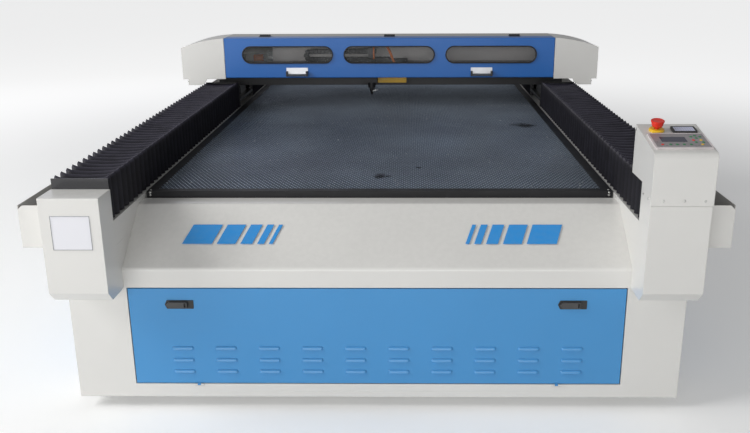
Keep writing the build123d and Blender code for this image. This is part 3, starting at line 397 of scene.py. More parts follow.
def make_strip(name, points, section, finish, body, closed=False, angle=None):
    """A finished piece that has one section all along its path."""
    path = drawn_curve(name, points, closed)
    grow(path, sweep, Section=section, Material=finishes[finish])
    obj = settle(path)
    if angle:
        smooth(obj, angle)
    return ride(obj, body)


def place_copies(name, source, turns, material):
    """Copies of a source object at places, each a point and its turn as an Euler rotation."""
    obj = mesh_object(name, [p for p, _ in turns])
    turn = obj.data.attributes.new("turn", "FLOAT_VECTOR", "POINT")
    for n, (_, rotation) in enumerate(turns):
        turn.data[n].vector = rotation
    grow(obj, scatter, Copy=source, Material=material)
    return settle(obj)


def copies(name, source, places, material):
    """Copies of a source object at places, each a point and the direction that its Z axis looks in."""
    turns = [(point, Vector(direction).to_track_quat("Z", "Y").to_euler()) for point, direction in places]
    return place_copies(name, source, turns, material)


def drawn_curve(name, points, closed=False):
    """A curve object that runs straight from point to point."""
    curve = bpy.data.curves.new(name, "CURVE")
    curve.dimensions = "3D"
    spline = curve.splines.new("POLY")
    spline.points.add(len(points) - 1)
    for point, place in zip(spline.points, points):
        point.co = (*place, 1.0)
    spline.use_cyclic_u = closed
    return new_object(name, curve)


def rounded_section(name, width, height, radius, corner_steps=3):
    """A closed rounded rectangle in mm, as the section of a strip."""
    points = []
    for cx, cy, start in ((1, 1, 0), (-1, 1, 90), (-1, -1, 180), (1, -1, 270)):
        for n in range(corner_steps + 1):
            turn = radians(start + 90 * n / corner_steps)
            points.append(Vector((cx * (width / 2 - radius) + radius * cos(turn),
                                  cy * (height / 2 - radius) + radius * sin(turn), 0)) * MM)
    return drawn_curve(name, points, closed=True)


# Materials

def base_material(name, **values):
    """A node material: its tree, its shader and its object coordinates."""
    material = bpy.data.materials.new(name)
    material.use_nodes = True
    tree = material.node_tree
    shader = tree.nodes["Principled BSDF"]
    for key, value in values.items():
        shader.inputs[key.replace("_", " ")].default_value = value
    place = put(tree, "ShaderNodeTexCoord").outputs["Object"]
    return material, tree, shader, place


def feed(shader, **sockets):
    """Links sockets to the inputs of a shader."""
    for key, socket in sockets.items():
        shader.id_data.links.new(socket, shader.inputs[key.replace("_", " ")])


def noise(tree, place, scale, detail=2.0, stretch=None):
    """A noise between 0 and 1, stretched along the axes where wanted."""
    if stretch:
        place = put(tree, "ShaderNodeMapping", {"Vector": place, "Scale": stretch}).outputs["Vector"]
    return put(tree, "ShaderNodeTexNoise", {"Vector": place, "Scale": scale, "Detail": detail}).outputs["Fac"]


def between(tree, value, low, high, start=0.0, end=1.0, **settings):
    """A value moved from the range start to end into the range low to high."""
    node = put(tree, "ShaderNodeMapRange",
               {"Value": value, "From Min": start, "From Max": end, "To Min": low, "To Max": high}, **settings)
    return node.outputs["Result"]


def mixed(tree, share, first, second):
    """A mix of two colours, each a value or a socket."""
    node = put(tree, "ShaderNodeMix", {"Factor": share}, data_type="RGBA")
    for index, colour in ((6, first), (7, second)):
        if isinstance(colour, bpy.types.NodeSocket):
            tree.links.new(colour, node.inputs[index])
        else:
            node.inputs[index].default_value = (*colour[:3], 1.0)
    return node.outputs[2]


def shade(colour, factor):
    """A lighter or darker tone of a colour."""
    return tuple(min(1.0, c * factor) for c in colour[:3])


def clouded(tree, place, scale, detail, colour, dark, light, start=0.3):
    """A colour that drifts between a darker and a lighter tone of itself."""
    drift = between(tree, noise(tree, place, scale, detail), 0, 1, start, 1 - start)
    return mixed(tree, drift, shade(colour, dark), shade(colour, light))


def facing_up(tree):
    """How far a surface looks up: the height of its normal."""
    normal = put(tree, "ShaderNodeNewGeometry").outputs["Normal"]
    return put(tree, "ShaderNodeSeparateXYZ", {"Vector": normal}).outputs["Z"]


def set_bump(tree, shader, height, depth, soft_edge=0.0):
    """Bump from a height, over edges that look rounded."""
    bump = put(tree, "ShaderNodeBump", {"Height": height, "Distance": depth, "Strength": 1.0})
    if soft_edge:
        edge = put(tree, "ShaderNodeBevel", {"Radius": soft_edge}, samples=4)
        tree.links.new(edge.outputs["Normal"], bump.inputs["Normal"])
    feed(shader, Normal=bump.outputs["Normal"])


DUST = (0.36, 0.35, 0.33)
# Near black of the painted shade down the honeycomb's cell walls.
WALL_SHADE = (0.02, 0.02, 0.022)
CHAR = (0.018, 0.015, 0.013)
BARE_METAL = (0.62, 0.64, 0.66)


def painted(name, colour, roughness=0.36, soft_edge=2.5 * MM, dusty=0.05, coat=0.25):
    """Powder coat: fine orange peel, cloudy tone, dust on faces that look up."""
    material, tree, shader, place = base_material(name, Coat_Weight=coat, Coat_Roughness=0.14)
    dust = calculate(tree, "MULTIPLY", between(tree, facing_up(tree), 0, dusty * 3, 0.6, 1.0),
                     between(tree, noise(tree, place, 60, 3.0), 0.3, 1.0, 0.35, 0.65))
    feed(shader, Base_Color=mixed(tree, dust, clouded(tree, place, 2.4, 4.0, colour, 0.975, 1.02), DUST),
         Roughness=between(tree, noise(tree, place, 9, 3.0), roughness - 0.02, roughness + 0.025))
    set_bump(tree, shader, noise(tree, place, 420, 2.0), 0.05 * MM, soft_edge)
    return material


def brushed(name, colour, roughness=0.3, direction=(1, 1, 1)):
    """Metal with fine drawn lines along one axis."""
    material, tree, shader, place = base_material(name, Metallic=1.0)
    lines = noise(tree, place, 300, 3.0, direction)
    feed(shader, Base_Color=clouded(tree, place, 8, 3.0, colour, 0.86, 1.06),
         Roughness=between(tree, lines, roughness - 0.08, roughness + 0.12, 0.3, 0.7))
    set_bump(tree, shader, lines, 0.04 * MM, 0.6 * MM)
    return material


def anodised(name, colour, roughness=0.4, direction=(1, 1, 1)):
    """Black anodised aluminium: dull, with drawn lines and grey rubbing."""
    material, tree, shader, place = base_material(name, Metallic=0.2)
    lines = noise(tree, place, 160, 3.0, direction)
    rubbed = between(tree, noise(tree, place, 14, 5.0), 0, 0.5, 0.55, 0.8)
    feed(shader, Base_Color=mixed(tree, rubbed, colour, shade(colour, 3.0)),
         Roughness=between(tree, lines, roughness - 0.08, roughness + 0.1, 0.3, 0.7))
    set_bump(tree, shader, lines, 0.05 * MM, 1.5 * MM)
    return material


def moulded(name, colour, roughness=0.4):
    """Moulded plastic or rubber with a fine grain."""
    material, tree, shader, place = base_material(name)
    feed(shader, Base_Color=clouded(tree, place, 20, 3.0, colour, 0.88, 1.1),
         Roughness=between(tree, noise(tree, place, 60), roughness - 0.06, roughness + 0.08))
    set_bump(tree, shader, noise(tree, place, 260, 2.0), 0.08 * MM, 0.8 * MM)
    return material


def bellows_cloth(colour):
    """Coated cloth: near black on the sides and greyer on the ridges, partly dust and wear, partly painted light on
    the faces that look up.
    """
    material, tree, shader, place = base_material("bellows_cloth", Sheen_Roughness=0.3,
                                                  Specular_IOR_Level=0.22, Sheen_Tint=(0.62, 0.60, 0.82, 1.0))
    ridge = put(tree, "ShaderNodeAttribute", attribute_name="ridge").outputs["Fac"]
    # Ridges that look up take the lighter cloth colour: partly wear on the ridges, partly painted light on the tops,
    # with painted shade on the sides.
    ridge_wear_and_painted_light = calculate(tree, "MULTIPLY", between(tree, ridge, -0.2, 1.2, 0.15, 0.9),
                     between(tree, facing_up(tree), 0.30, 1.0, 0.1, 0.5))
    # The colour mix below is partly dust and partly painted light on the tops of the folds.
    dusty = calculate(tree, "MULTIPLY", ridge_wear_and_painted_light, between(tree, noise(tree, place, 16, 4.0), 0.5, 1.1, 0.3, 0.7),
                      use_clamp=True)
    feed(shader, Base_Color=mixed(tree, dusty, shade(colour, 0.10), colour),
         Sheen_Weight=between(tree, ridge_wear_and_painted_light, 0.0, 0.3), Roughness=between(tree, ridge, 0.62, 0.40))
    warp, weft = (put(tree, "ShaderNodeTexWave", {"Vector": place, "Scale": 260.0, "Distortion": 0.4},
                      bands_direction=axis).outputs["Fac"] for axis in "XY")
    set_bump(tree, shader, calculate(tree, "MULTIPLY", warp, weft), 0.15 * MM)
    return material


def comb_metal(colour, marks):
    """Aluminium foil with a grey film, painted shade down its sides and charred round a few marks."""
    material, tree, shader, place = base_material("comb_metal", Metallic=0.6)
    film = clouded(tree, place, 1.6, 4.0, colour, 0.78, 1.22, 0.32)
    # Painted shade: faces that do not look up are mixed towards near black, so the top edges of the foil read
    # lighter.
    tone = mixed(tree, between(tree, facing_up(tree), 0, 1, 0.3, 0.9), mixed(tree, 0.62, film, WALL_SHADE), film)
    tone = mixed(tree, between(tree, noise(tree, place, 70, 1.0), 0, 1, 0.72, 0.78), tone, BARE_METAL)
    ragged = noise(tree, place, 30, 3.0)
    for centre, radius in marks:
        away = put(tree, "ShaderNodeVectorMath", {0: place, 1: centre}, operation="DISTANCE").outputs["Value"]
        edge = calculate(tree, "ADD", away, between(tree, ragged, -radius, radius))
        tone = mixed(tree, between(tree, edge, 0.85, 0.0, radius * 0.4, radius * 1.1), tone, CHAR)
    feed(shader, Base_Color=tone, Roughness=between(tree, noise(tree, place, 40), 0.30, 0.46))
    set_bump(tree, shader, noise(tree, place, 300), 0.1 * MM)
    return material


def clear_pane():
    """Clear acrylic with a faint film of dust."""
    material, tree, shader, place = base_material("clear_pane", Base_Color=(0.75, 0.78, 0.78, 1.0),
                                                  Roughness=0.06, IOR=1.49)
    film = noise(tree, place, 7, 4.0)
    feed(shader, Alpha=between(tree, film, 0.015, 0.05, 0.3, 0.7), Roughness=between(tree, film, 0.04, 0.12))
    return material


def tube_glass():
    """Borosilicate glass of the laser tube."""
    material, tree, shader, place = base_material("tube_glass", Roughness=0.04, IOR=1.47)
    edge = put(tree, "ShaderNodeLayerWeight", {"Blend": 0.45}).outputs["Facing"]
    feed(shader, Alpha=between(tree, edge, 0.16, 0.75),
         Base_Color=mixed(tree, noise(tree, place, 5), (0.80, 0.88, 0.88), (0.88, 0.93, 0.93)))
    return material


def display(name, dark, light, rows):
    """A display pane: a dull field with faint rows of segments, blurred by the cover."""
    material, tree, shader, place = base_material(name, Roughness=0.12)
    bands = put(tree, "ShaderNodeTexWave", {"Vector": place, "Scale": rows, "Distortion": 1.5, "Detail": 2.0},
                bands_direction="X").outputs["Fac"]
    feed(shader, Base_Color=mixed(tree, between(tree, bands, 0, 1, 0.3, 1.0), dark, light),
         Roughness=between(tree, noise(tree, place, 30), 0.08, 0.2))
    return material


BURNS = (((0.0, -1.35, 0.659), 0.035), ((0.65, -0.38, 0.659), 0.055), ((0.14, -1.22, 0.659), 0.012))
finishes = {}


def make_finishes():
    """Every material of the machine, by a maker's name."""
    paint = bpy.context.scene.engraver_paint
    finishes.update({
        "white": painted("cabinet_white", paint.white, 0.30),
        # Painted shade: the hood's top sheet is the cabinet white darkened, as the shade of a top that looks up to a
        # dark ceiling.
        "hood_white": painted("hood_white", shade(paint.white, 0.62), 0.6, coat=0.0),
        # Painted shade: the white wall inside the hood is given a grey for the shade it stands in.
        "inner_white": painted("inner_white", (0.64, 0.61, 0.60), 0.5, coat=0.0),
        # One blue paint as two colours: painted light on the door and covers, painted shade on the hood's door.
        "door_blue": painted("door_blue", paint.door_blue, 0.33),
        "hood_blue": painted("hood_blue", paint.hood_blue, 0.36, coat=0.08),
        "black_paint": painted("black_enamel", (0.014, 0.014, 0.016), 0.42),
        "primer": painted("frame_primer", (0.18, 0.185, 0.19), 0.5),
        "yellow_paint": painted("yellow_enamel", (0.80, 0.47, 0.02), 0.3),
        "stripe": painted("stencil_blue", paint.mark_blue, 0.42, 0.0),
        "zinc": brushed("zinc_plate", (0.62, 0.62, 0.60), 0.36),
        "rail": brushed("ground_steel", (0.66, 0.67, 0.69), 0.24, (1, 0.02, 1)),
        "aluminium": brushed("satin_aluminium", (0.76, 0.77, 0.79), 0.38, (0.02, 3, 3)),
        "turned": brushed("turned_aluminium", (0.76, 0.77, 0.79), 0.28),
        "bed_black": anodised("black_anodised", (0.011, 0.011, 0.013), 0.55, (0.04, 0.04, 1)),
        "head_black": anodised("machined_black", (0.016, 0.016, 0.018)),
        "plate_gloss": painted("gloss_black", (0.010, 0.010, 0.014), 0.12, 1 * MM, 0.02),
        "cloth": bellows_cloth(paint.cloth),
        "comb": comb_metal(paint.honeycomb, BURNS),
        "belt": moulded("belt_rubber", (0.018, 0.018, 0.018), 0.6),
        "chain": moulded("chain_nylon", (0.020, 0.020, 0.022), 0.42),
        "gasket": moulded("gasket_rubber", (0.012, 0.012, 0.013), 0.5),
        "black_plastic": moulded("black_plastic", (0.022, 0.022, 0.022), 0.36),
        "lever_grey": moulded("lever_grey", (0.060, 0.060, 0.062), 0.34),
        "grey_plastic": moulded("grey_frame", (0.68, 0.63, 0.63), 0.4),
        "overlay": moulded("keypad_film", (0.30, 0.28, 0.29), 0.28),
        "red": moulded("signal_red", (0.78, 0.035, 0.018), 0.24),
        "amber": moulded("signal_yellow", (0.80, 0.50, 0.02), 0.28),
        "green": moulded("key_green", (0.03, 0.22, 0.08), 0.35),
        "orange": moulded("hose_orange", (0.75, 0.19, 0.03), 0.22),
        "silicone": moulded("white_silicone", (0.72, 0.70, 0.66), 0.5),
        "plate_face": painted("plate_white", (0.80, 0.80, 0.84), 0.3, 0.0),
        "plate_line": painted("plate_grey", (0.08, 0.085, 0.10), 0.4, 0.0),
        "pane": clear_pane(),
        "tube": tube_glass(),
        "key_display": display("key_display", (0.055, 0.055, 0.075), (0.10, 0.10, 0.14), 60),
        "status_display": display("status_display", (0.50, 0.52, 0.70), (0.70, 0.71, 0.86), 45),
    })


NODE_FINISH = {
    "white": ["front_panel", "rear_panel", "side_panels", "side_beams", "corner_posts", "cable_trays",
              "end_caps", "control_box"],
    "hood_white": ["hood_shell"],
    "door_blue": ["front_door", "service_covers"],
    "hood_blue": ["hood_door"],
    "black_paint": ["gantry_beam", "gantry_feet", "hood_hinges", "hinge_leaves", "y_motors", "cross_motor"],
    "plate_gloss": ["end_plates"],
    "primer": ["base_frame"],
    "zinc": ["levelling_feet", "floor_pan", "bed_bars", "idler_brackets", "power_supply"],
    "rail": ["y_rails", "cross_rail"],
    "aluminium": ["pulls"],
    "turned": ["front_idlers", "rear_pulleys", "drive_pulley", "idler_pulley", "optics_mounts"],
    "bed_black": ["bed_frame"],
    "head_black": ["head_carriage", "lens_tube"],
    "belt": ["y_belts", "cross_belt"],
    "black_plastic": ["lock_plates", "lock_spindle_left", "lock_spindle_right", "status_bezel"],
    "lever_grey": ["lock_lever_left", "lock_lever_right"],
    "grey_plastic": ["keypad_frame"],
    "overlay": ["keypad_overlay"],
    "status_display": ["status_screen"],
    "red": ["stop_button"],
    "amber": ["stop_collar"],
    "yellow_paint": ["head_plate"],
    "orange": ["air_hose"],
    "pane": ["windows"],
    "tube": ["laser_tube"],
}


# Bellows

FOLD_ROWS = ((0.0, 1.0), (0.05, 0.93), (0.17, 0.66), (0.33, 0.34), (0.45, 0.07), (0.5, 0.0),
             (0.55, 0.07), (0.67, 0.34), (0.83, 0.66), (0.95, 0.93), (1.0, 1.0))
END_CUTS = (0, 1, 4, 12)
CORNER = 4 * MM
SIDE_STEPS = 5
TOP_STEPS = 12
SLEEVE_PLAY = 1.5 * MM
SLEEVE_REACH = 40 * MM


def fold_outline(half, top, hem, inset, sag, ear=0.0):
    """The upside-down U of a bellows at one place along it, with its corners raised by an ear."""
    wide, crown = half - inset, top - inset
    left = [(-wide, hem + (crown - CORNER - hem) * n / SIDE_STEPS) for n in range(SIDE_STEPS + 1)]
    left.append((-wide + CORNER * 0.3, crown - CORNER * 0.3))
    middle = []
    for n in range(TOP_STEPS + 1):
        x = (-wide + CORNER) + 2 * (wide - CORNER) * n / TOP_STEPS
        middle.append((x, crown - sag * (1 - (x / wide) ** 2) + ear * (x / wide) ** 12))
    return left + middle + [(-x, z) for x, z in reversed(left)]


def skin(name, rows):
    """A single skin over rows of points."""
    wide = len(rows[0])
    faces = [(r * wide + c, r * wide + c + 1, (r + 1) * wide + c + 1, (r + 1) * wide + c)
             for r in range(len(rows) - 1) for c in range(wide - 1)]
    return mesh_object(name, [p for row in rows for p in row], faces)


def fold(half, top, hem, pitch, settings):
    """One fold from valley to valley, which carries the attribute ridge."""
    rows = []
    ridges = []
    for along, inset in FOLD_ROWS:
        outline = fold_outline(half, top, hem, inset * settings.depth, settings.sag * (1 - inset),
                               settings.ear * (1 - inset))
        rows.append([(x, along * pitch, z) for x, z in outline])
        ridges += [1 - inset] * len(outline)
    obj = skin("fold", rows)
    ridge = obj.data.attributes.new("ridge", "FLOAT", "POINT")
    ridge.data.foreach_set("value", ridges)
    return obj


def add_sleeve(piece, outline, start, length, middle):
    """Joins to a piece the straight cloth inside the last folds, which stays with what holds them."""
    sleeve = skin("sleeve", [[(x, y, z) for x, z in outline] for y in (start, start + length)])
    shift_mesh(sleeve, (middle, 0, 0))
    form = bmesh.new()
    form.from_mesh(piece.data)
    form.from_mesh(sleeve.data)
    form.to_mesh(piece.data)
    form.free()
    discard(sleeve)


def blend_between(obj):
    """Bakes a piece's place into its mesh."""
    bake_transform(obj)


def make_bellows(node, fixed_low):
    """A folded cover in pieces. The end folds stay with their plates, the rest stays where it is."""
    settings = bpy.context.scene.engraver_bellows
    folds = settings.folds
    low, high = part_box(node)
    pitch = (high.y - low.y) / folds
    middle, half = (low.x + high.x) / 2, (high.x - low.x) / 2
    unit = fold(half, high.z, low.z, pitch, settings)
    inside = settings.depth + SLEEVE_PLAY
    length = pitch + SLEEVE_REACH
    cuts = [*END_CUTS, folds // 2, *(folds - cut for cut in reversed(END_CUTS))]
    for number, (first, last) in enumerate(zip(cuts, cuts[1:]), 1):
        piece = mesh_object(f"{node}_{number}")
        grow(piece, row, Copy=unit, Count=last - first, Step=(0, pitch, 0), Material=finishes["cloth"])
        settle(piece)
        start = low.y + first * pitch
        shift_mesh(piece, (middle, start, 0))
        if first == 0 or last == folds:
            outline = fold_outline(half - inside, high.z - inside, low.z, 0.0, 0.0)
            add_sleeve(piece, outline, low.y if first == 0 else high.y - length, length, middle)
        grow(piece, crumple, Amount=settings.crumple, Material=finishes["cloth"])
        thicken(piece, settings.thickness)
        smooth(piece, 50)
        near, far = (first, last) if fixed_low else (folds - first, folds - last)
        if 0 in (near, far):
            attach(piece, "base")
        elif folds in (near, far):
            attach(piece, "gantry")
        else:
            blend_between(piece)
        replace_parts(piece, node)
    discard(unit)


class ENGRAVER_OT_bellows(bpy.types.Operator):
    """Makes the four folded covers over the guide ways."""
    bl_idname = "engraver.bellows"
    bl_label = "Bellows"

    def execute(self, context):
        for side in ("left", "right"):
            make_bellows(f"bellows_front_{side}", True)
            make_bellows(f"bellows_rear_{side}", False)
        return {"FINISHED"}


# Honeycomb

COMB_EDGE = 3 * MM
SINGLE, DOUBLE = 0.8, 1.9
CELL_WALLS = (("a", "b", DOUBLE), ("b", "c", SINGLE), ("c", "b2", SINGLE), ("c", "d", DOUBLE), ("d", "e", SINGLE),
              ("d", "e2", SINGLE))


def add_wall(form, start, end, top, depth, thickness):
    """One foil wall of a cell: a thin wedge that is widest at its top."""
    start, end = Vector((*start, 0)), Vector((*end, 0))
    side = (end - start).normalized().cross(Vector((0, 0, 1))) * thickness / 2
    up, down = Vector((0, 0, top)), Vector((0, 0, top - depth))
    corners = (start + side + up, end + side + up, end - side + up, start - side + up)
    a, b, c, d = (form.verts.new(corner) for corner in corners)
    near, far = form.verts.new(start + down), form.verts.new(end + down)
    for face in ((a, b, c, d), (b, a, near, far), (d, c, far, near), (a, d, near), (c, b, far)):
        form.faces.new(face)


class ENGRAVER_OT_honeycomb(bpy.types.Operator):
    """Makes the honeycomb panels of the cutting table and the rim round them."""
    bl_idname = "engraver.honeycomb"
    bl_label = "Honeycomb table"

    def execute(self, context):
        settings = context.scene.engraver_bed
        low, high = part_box("honeycomb")
        width = (high.x - low.x - 2 * COMB_EDGE) / (settings.panels * settings.columns)
        length = high.y - low.y - 2 * COMB_EDGE
        rows = round(length / (sqrt(3) * width))
        a = length / rows / 3
        corners = {"a": (0, 0), "b": (0, a), "b2": (width, a), "c": (width / 2, 1.5 * a),
                   "d": (width / 2, 2.5 * a), "e": (0, 3 * a), "e2": (width, 3 * a)}

        def cell(form):
            for start, end, plies in CELL_WALLS:
                add_wall(form, corners[start], corners[end], high.z, high.z - low.z, settings.wall * plies)

        unit = shaped("cell", cell)
        field_width = width * (settings.columns - 1)
        field_length = 3 * a * (rows - 1)
        for n in range(settings.panels):
            panel = mesh_object(f"honeycomb_panel_{n + 1}")
            grow(panel, field, Copy=unit, Columns=settings.columns, Rows=rows, Width=field_width,
                 Length=field_length, Material=finishes["comb"])
            settle(panel)
            left = low.x + COMB_EDGE + n * settings.columns * width
            shift_mesh(panel, (left + field_width / 2, low.y + COMB_EDGE + field_length / 2, 0))
            ride(panel, "base")
            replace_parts(panel, "honeycomb")
        discard(unit)

        def rim(form):
            inner_low, inner_high = low.x + COMB_EDGE, high.x - COMB_EDGE
            for x in (low.x, inner_high):
                add_box(form, (x, low.y, low.z), (x + COMB_EDGE, high.y, high.z))
            for y in (low.y, high.y - COMB_EDGE):
                add_box(form, (inner_low, y, low.z), (inner_high, y + COMB_EDGE, high.z))

        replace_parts(make_piece("honeycomb_rim", rim, "bed_black", "base"), "honeycomb")
        return {"FINISHED"}


# Drag chains

RUN_CUTS = (0.012, 0.05, 0.15, 0.30, 0.5)
CABLE_CHAIN_RADIUS = 41 * MM
CABLE_CHAIN_WIDTH = 60 * MM
CABLE_CHAIN_FIXED = 40 * MM
HEAD_CHAIN_RADIUS = 22 * MM
HEAD_CHAIN_HEIGHT = 25 * MM
HEAD_CHAIN_REACH = 40 * MM
HEAD_CHAIN_GAP = 12 * MM


def chain_link(pitch, width, height):
    """One link of a drag chain along Y: two waisted side plates and the bars across them."""
    plate = width * 0.09

    def build(form):
        for side in (-1, 1):
            for out, start, end, tall, bevel in ((0, 0.02, 0.98, 0.5, 0.12), (1, -0.2, 0.4, 0.36, 0.08)):
                faces = [side * (width / 2 - plate * n) for n in (out, out + 1)]
                add_box(form, (min(faces), pitch * start, -height * tall), (max(faces), pitch * end, height * tall),
                        height * bevel)
        for low, high in ((-0.5, -0.4), (0.4, 0.5)):
            add_box(form, (-width / 2 + plate, pitch * 0.25, low * height),
                    (width / 2 - plate, pitch * 0.75, high * height), height * 0.03)
    return shaped("link", build)


def chain_run(name, link, start, end, pitch, turn):
    """A straight run of links between two points, which need not be a whole number of links apart."""
    length = (end - start).length
    count = max(1, round(length / pitch))
    run = mesh_object(name)
    grow(run, row, Copy=link, Count=count, Step=(0, length / count, 0), Material=finishes["chain"])
    settle(run)
    run.data.transform(Matrix.Translation(start) @ turn)
    return run


def chain_bend(name, link, centre, radius, pitch, turn):
    """The half circle of links between the two runs of a chain that lies in its own YZ plane."""
    count = max(4, round(pi * radius / pitch))
    angles = [pi / 2 + pi * (n + 0.5) / count for n in range(count)]
    places = [((0, radius * cos(a), radius * sin(a)), (a + pi / 2, 0, 0)) for a in angles]
    bend = place_copies(name, link, places, finishes["chain"])
    bend.data.transform(Matrix.Translation(centre) @ turn)
    return bend


def make_chain(name, node, bodies, axis, ends, level, sizes):
    """A drag chain: a lower run, a bend and an upper run.

    ends are the places along the axis of the lower run's end, the upper run's end and the bend's tip, level is a
    point of the chain's middle, and sizes are the bend's radius and the pitch, width and height of a link."""
    fixed_end, moving_end, bend_end = ends
    radius, pitch, width, height = sizes
    axis, level = Vector(axis), Vector(level)
    turn = Matrix.Rotation(-pi / 2, 4, "Z") if axis.x else Matrix.Identity(4)
    link = chain_link(pitch, width, height)
    middle = bend_end + radius + height / 2
    pieces = []
    for label, end, side, body in (("lower", fixed_end, -1, bodies[0]), ("upper", moving_end, 1, bodies[1])):
        weights = [w if side < 0 else 1 - w for w in RUN_CUTS]
        weights[0] = round(weights[0])
        places = [end + (middle - end) * abs(w - weights[0]) / 0.5 for w in weights]
        run_level = level + Vector((0, 0, side * radius))
        stretches = zip(zip(places, weights), zip(places[1:], weights[1:]))
        for n, stretch in enumerate(stretches, 1):
            (low, low_weight), (high, high_weight) = sorted(stretch)
            piece = chain_run(f"{name}_{label}_{n}", link, run_level + axis * low, run_level + axis * high,
                              pitch, turn)
            if n == 1:
                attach(piece, body)
            else:
                blend_between(piece)
            pieces.append(piece)
    bend = chain_bend(f"{name}_bend", link, level + axis * middle, radius, pitch, turn)
    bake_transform(bend)
    for piece in pieces + [bend]:
        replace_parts(piece, node)
    discard(link)


class ENGRAVER_OT_chains(bpy.types.Operator):
    """Makes the links of the cable chains beside the beams and of the head's chain."""
    bl_idname = "engraver.chains"
    bl_label = "Drag chains"

    def execute(self, context):
        settings = context.scene.engraver_chains
        low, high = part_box("cable_chains")
        sizes = (CABLE_CHAIN_RADIUS, settings.link_pitch, CABLE_CHAIN_WIDTH, high.z - low.z - 2 * CABLE_CHAIN_RADIUS)
        for side, name in ((-1, "left"), (1, "right")):
            level = (side * (high.x - CABLE_CHAIN_WIDTH / 2), 0, (low.z + high.z) / 2)
            make_chain(f"cable_chain_{name}", "cable_chains", ("base", "gantry"), (0, 1, 0),
                       (CABLE_CHAIN_FIXED, high.y, low.y), level, sizes)
        low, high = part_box("head_chain")
        sizes = (HEAD_CHAIN_RADIUS, settings.small_pitch, high.y - low.y, HEAD_CHAIN_HEIGHT)
        level = (0, (low.y + high.y) / 2, low.z + HEAD_CHAIN_HEIGHT / 2 + HEAD_CHAIN_RADIUS)
        ends = (0.0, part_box("head_plate")[0].x - HEAD_CHAIN_GAP, low.x - HEAD_CHAIN_REACH)
        make_chain("head_chain_links", "head_chain", ("gantry", "head"), (1, 0, 0), ends, level, sizes)
        return {"FINISHED"}


# Screws

FRONT, BACK, LEFT, RIGHT, UP = (0, -1, 0), (0, 1, 0), (-1, 0, 0), (1, 0, 0), (0, 0, 1)
COVER_STATIONS = (-1.188, 0, 1.188)
COVER_SCREWS = (-0.462, -0.15, 0.15, 0.462)
COVER_SCREW_HEIGHTS = (0.128, 0.392)
REAR_SCREWS = (-0.24, 0.24)
REAR_SCREW_HEIGHTS = (0.112, 0.378)
DUCTS = (-0.665, 0.665)
DUCT_HEIGHT = 0.3
DUCT_SCREW_CIRCLE = 82 * MM
REAR_FACE = 1.871
HOOD_SCREWS = (-0.8, -0.4, 0.0, 0.4, 0.8)
CAP_SCREWS = (0.13, 0.34, 0.54)
CAP_SCREW_HEIGHT = 0.85


def screw_head():
    """A pan head screw with a round socket, looking along Z, 8 mm across."""
    outline = [(0, 0), (4.0, 0), (4.0, 0.8), (3.5, 1.7), (2.4, 2.2), (1.9, 2.2), (1.8, 1.0), (0, 1.0)]
    return shaped("screw", lambda form: add_lathe(form, outline, 12))


def box_screws():
    """Screws along the seam of the control box, and one high up at its left."""
    low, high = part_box("control_box")
    seam = low.z + 16 * MM
    places = [((low.x + share * (high.x - low.x), low.y, seam), FRONT) for share in (0.2, 0.53, 0.86)]
    for x, side in ((low.x, LEFT), (high.x, RIGHT)):
        places += [((x, low.y + d * MM, seam), side) for d in (28, 78)]
    return places + [((low.x, high.y - 12 * MM, high.z - 14 * MM), LEFT)]


def bed_screws():
    """Screws at the corners of the bed frame."""
    low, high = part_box("bed_frame")
    inset = 11 * MM
    places = []
    for x in (low.x + inset, high.x - inset):
        for y, side in ((low.y, FRONT), (high.y, BACK)):
            places += [((x, y, high.z - d * MM), side) for d in (6, 15)]
        places += [((x, y, high.z), UP) for y in (low.y + inset, high.y - inset)]
    return places


def cover_screws():
    """Screws of the service covers and of the duct flanges."""
    low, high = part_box("service_covers")
    places = [((x, middle + dy, z), side) for x, side in ((low.x, LEFT), (high.x, RIGHT))
              for middle in COVER_STATIONS for dy in COVER_SCREWS for z in COVER_SCREW_HEIGHTS]
    places += [((x, high.y, z), BACK) for x in REAR_SCREWS for z in REAR_SCREW_HEIGHTS]
    for x in DUCTS:
        for turn in (radians(45 + 90 * n) for n in range(4)):
            places.append(((x + DUCT_SCREW_CIRCLE * cos(turn), REAR_FACE,
                            DUCT_HEIGHT + DUCT_SCREW_CIRCLE * sin(turn)), BACK))
    return places


def hood_screws():
    """Screws of the hood's rear wall and of the end caps."""
    low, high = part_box("hood_shell")
    caps_low, caps_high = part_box("end_caps")
    places = [((x, high.y, low.z + 18 * MM), BACK) for x in HOOD_SCREWS]
    places += [((side * (caps_high.x - 28 * MM), caps_low.y, low.z - 12 * MM), FRONT) for side in (-1, 1)]
    return places + [((side * caps_high.x, y, CAP_SCREW_HEIGHT), (side, 0, 0))
                     for side in (-1, 1) for y in CAP_SCREWS]


class ENGRAVER_OT_screws(bpy.types.Operator):
    """Puts the small screws on the covers, the control box, the bed frame and the hood."""
    bl_idname = "engraver.screws"
    bl_label = "Screws"

    def execute(self, context):
        source = screw_head()
        base = box_screws() + bed_screws() + cover_screws()
        for body, places in (("base", base), ("gantry", hood_screws())):
            ride(smooth(copies(f"screws_{body}", source, places, finishes["zinc"])), body)
        discard(source)
        return {"FINISHED"}


# Hood and head

WINDOW_MARGIN = 10 * MM
WINDOW_PITCH = 530 * MM
WALL_LEFT, WALL_RIGHT, WALL_TOP = -0.664, 0.812, 0.972
WALL_SETBACK = 35 * MM
WALL_SHEET = 1.5 * MM
WALL_FLANGE = 22 * MM
HOSE_ROUTE = [(0.026, 0.28, 0.872), (0.012, 0.28, 0.905), (0.0, 0.28, 0.935), (-0.016, 0.283, 0.965),
              (-0.05, 0.30, 0.992), (-0.10, 0.33, 0.996)]
FITTING_HEIGHT = 0.728
PULL_LENGTH = 104 * MM
PULL_END = 9.2 * MM
PULL_LIP = 0.6 * MM
PULL_DEPTH = 26 * MM


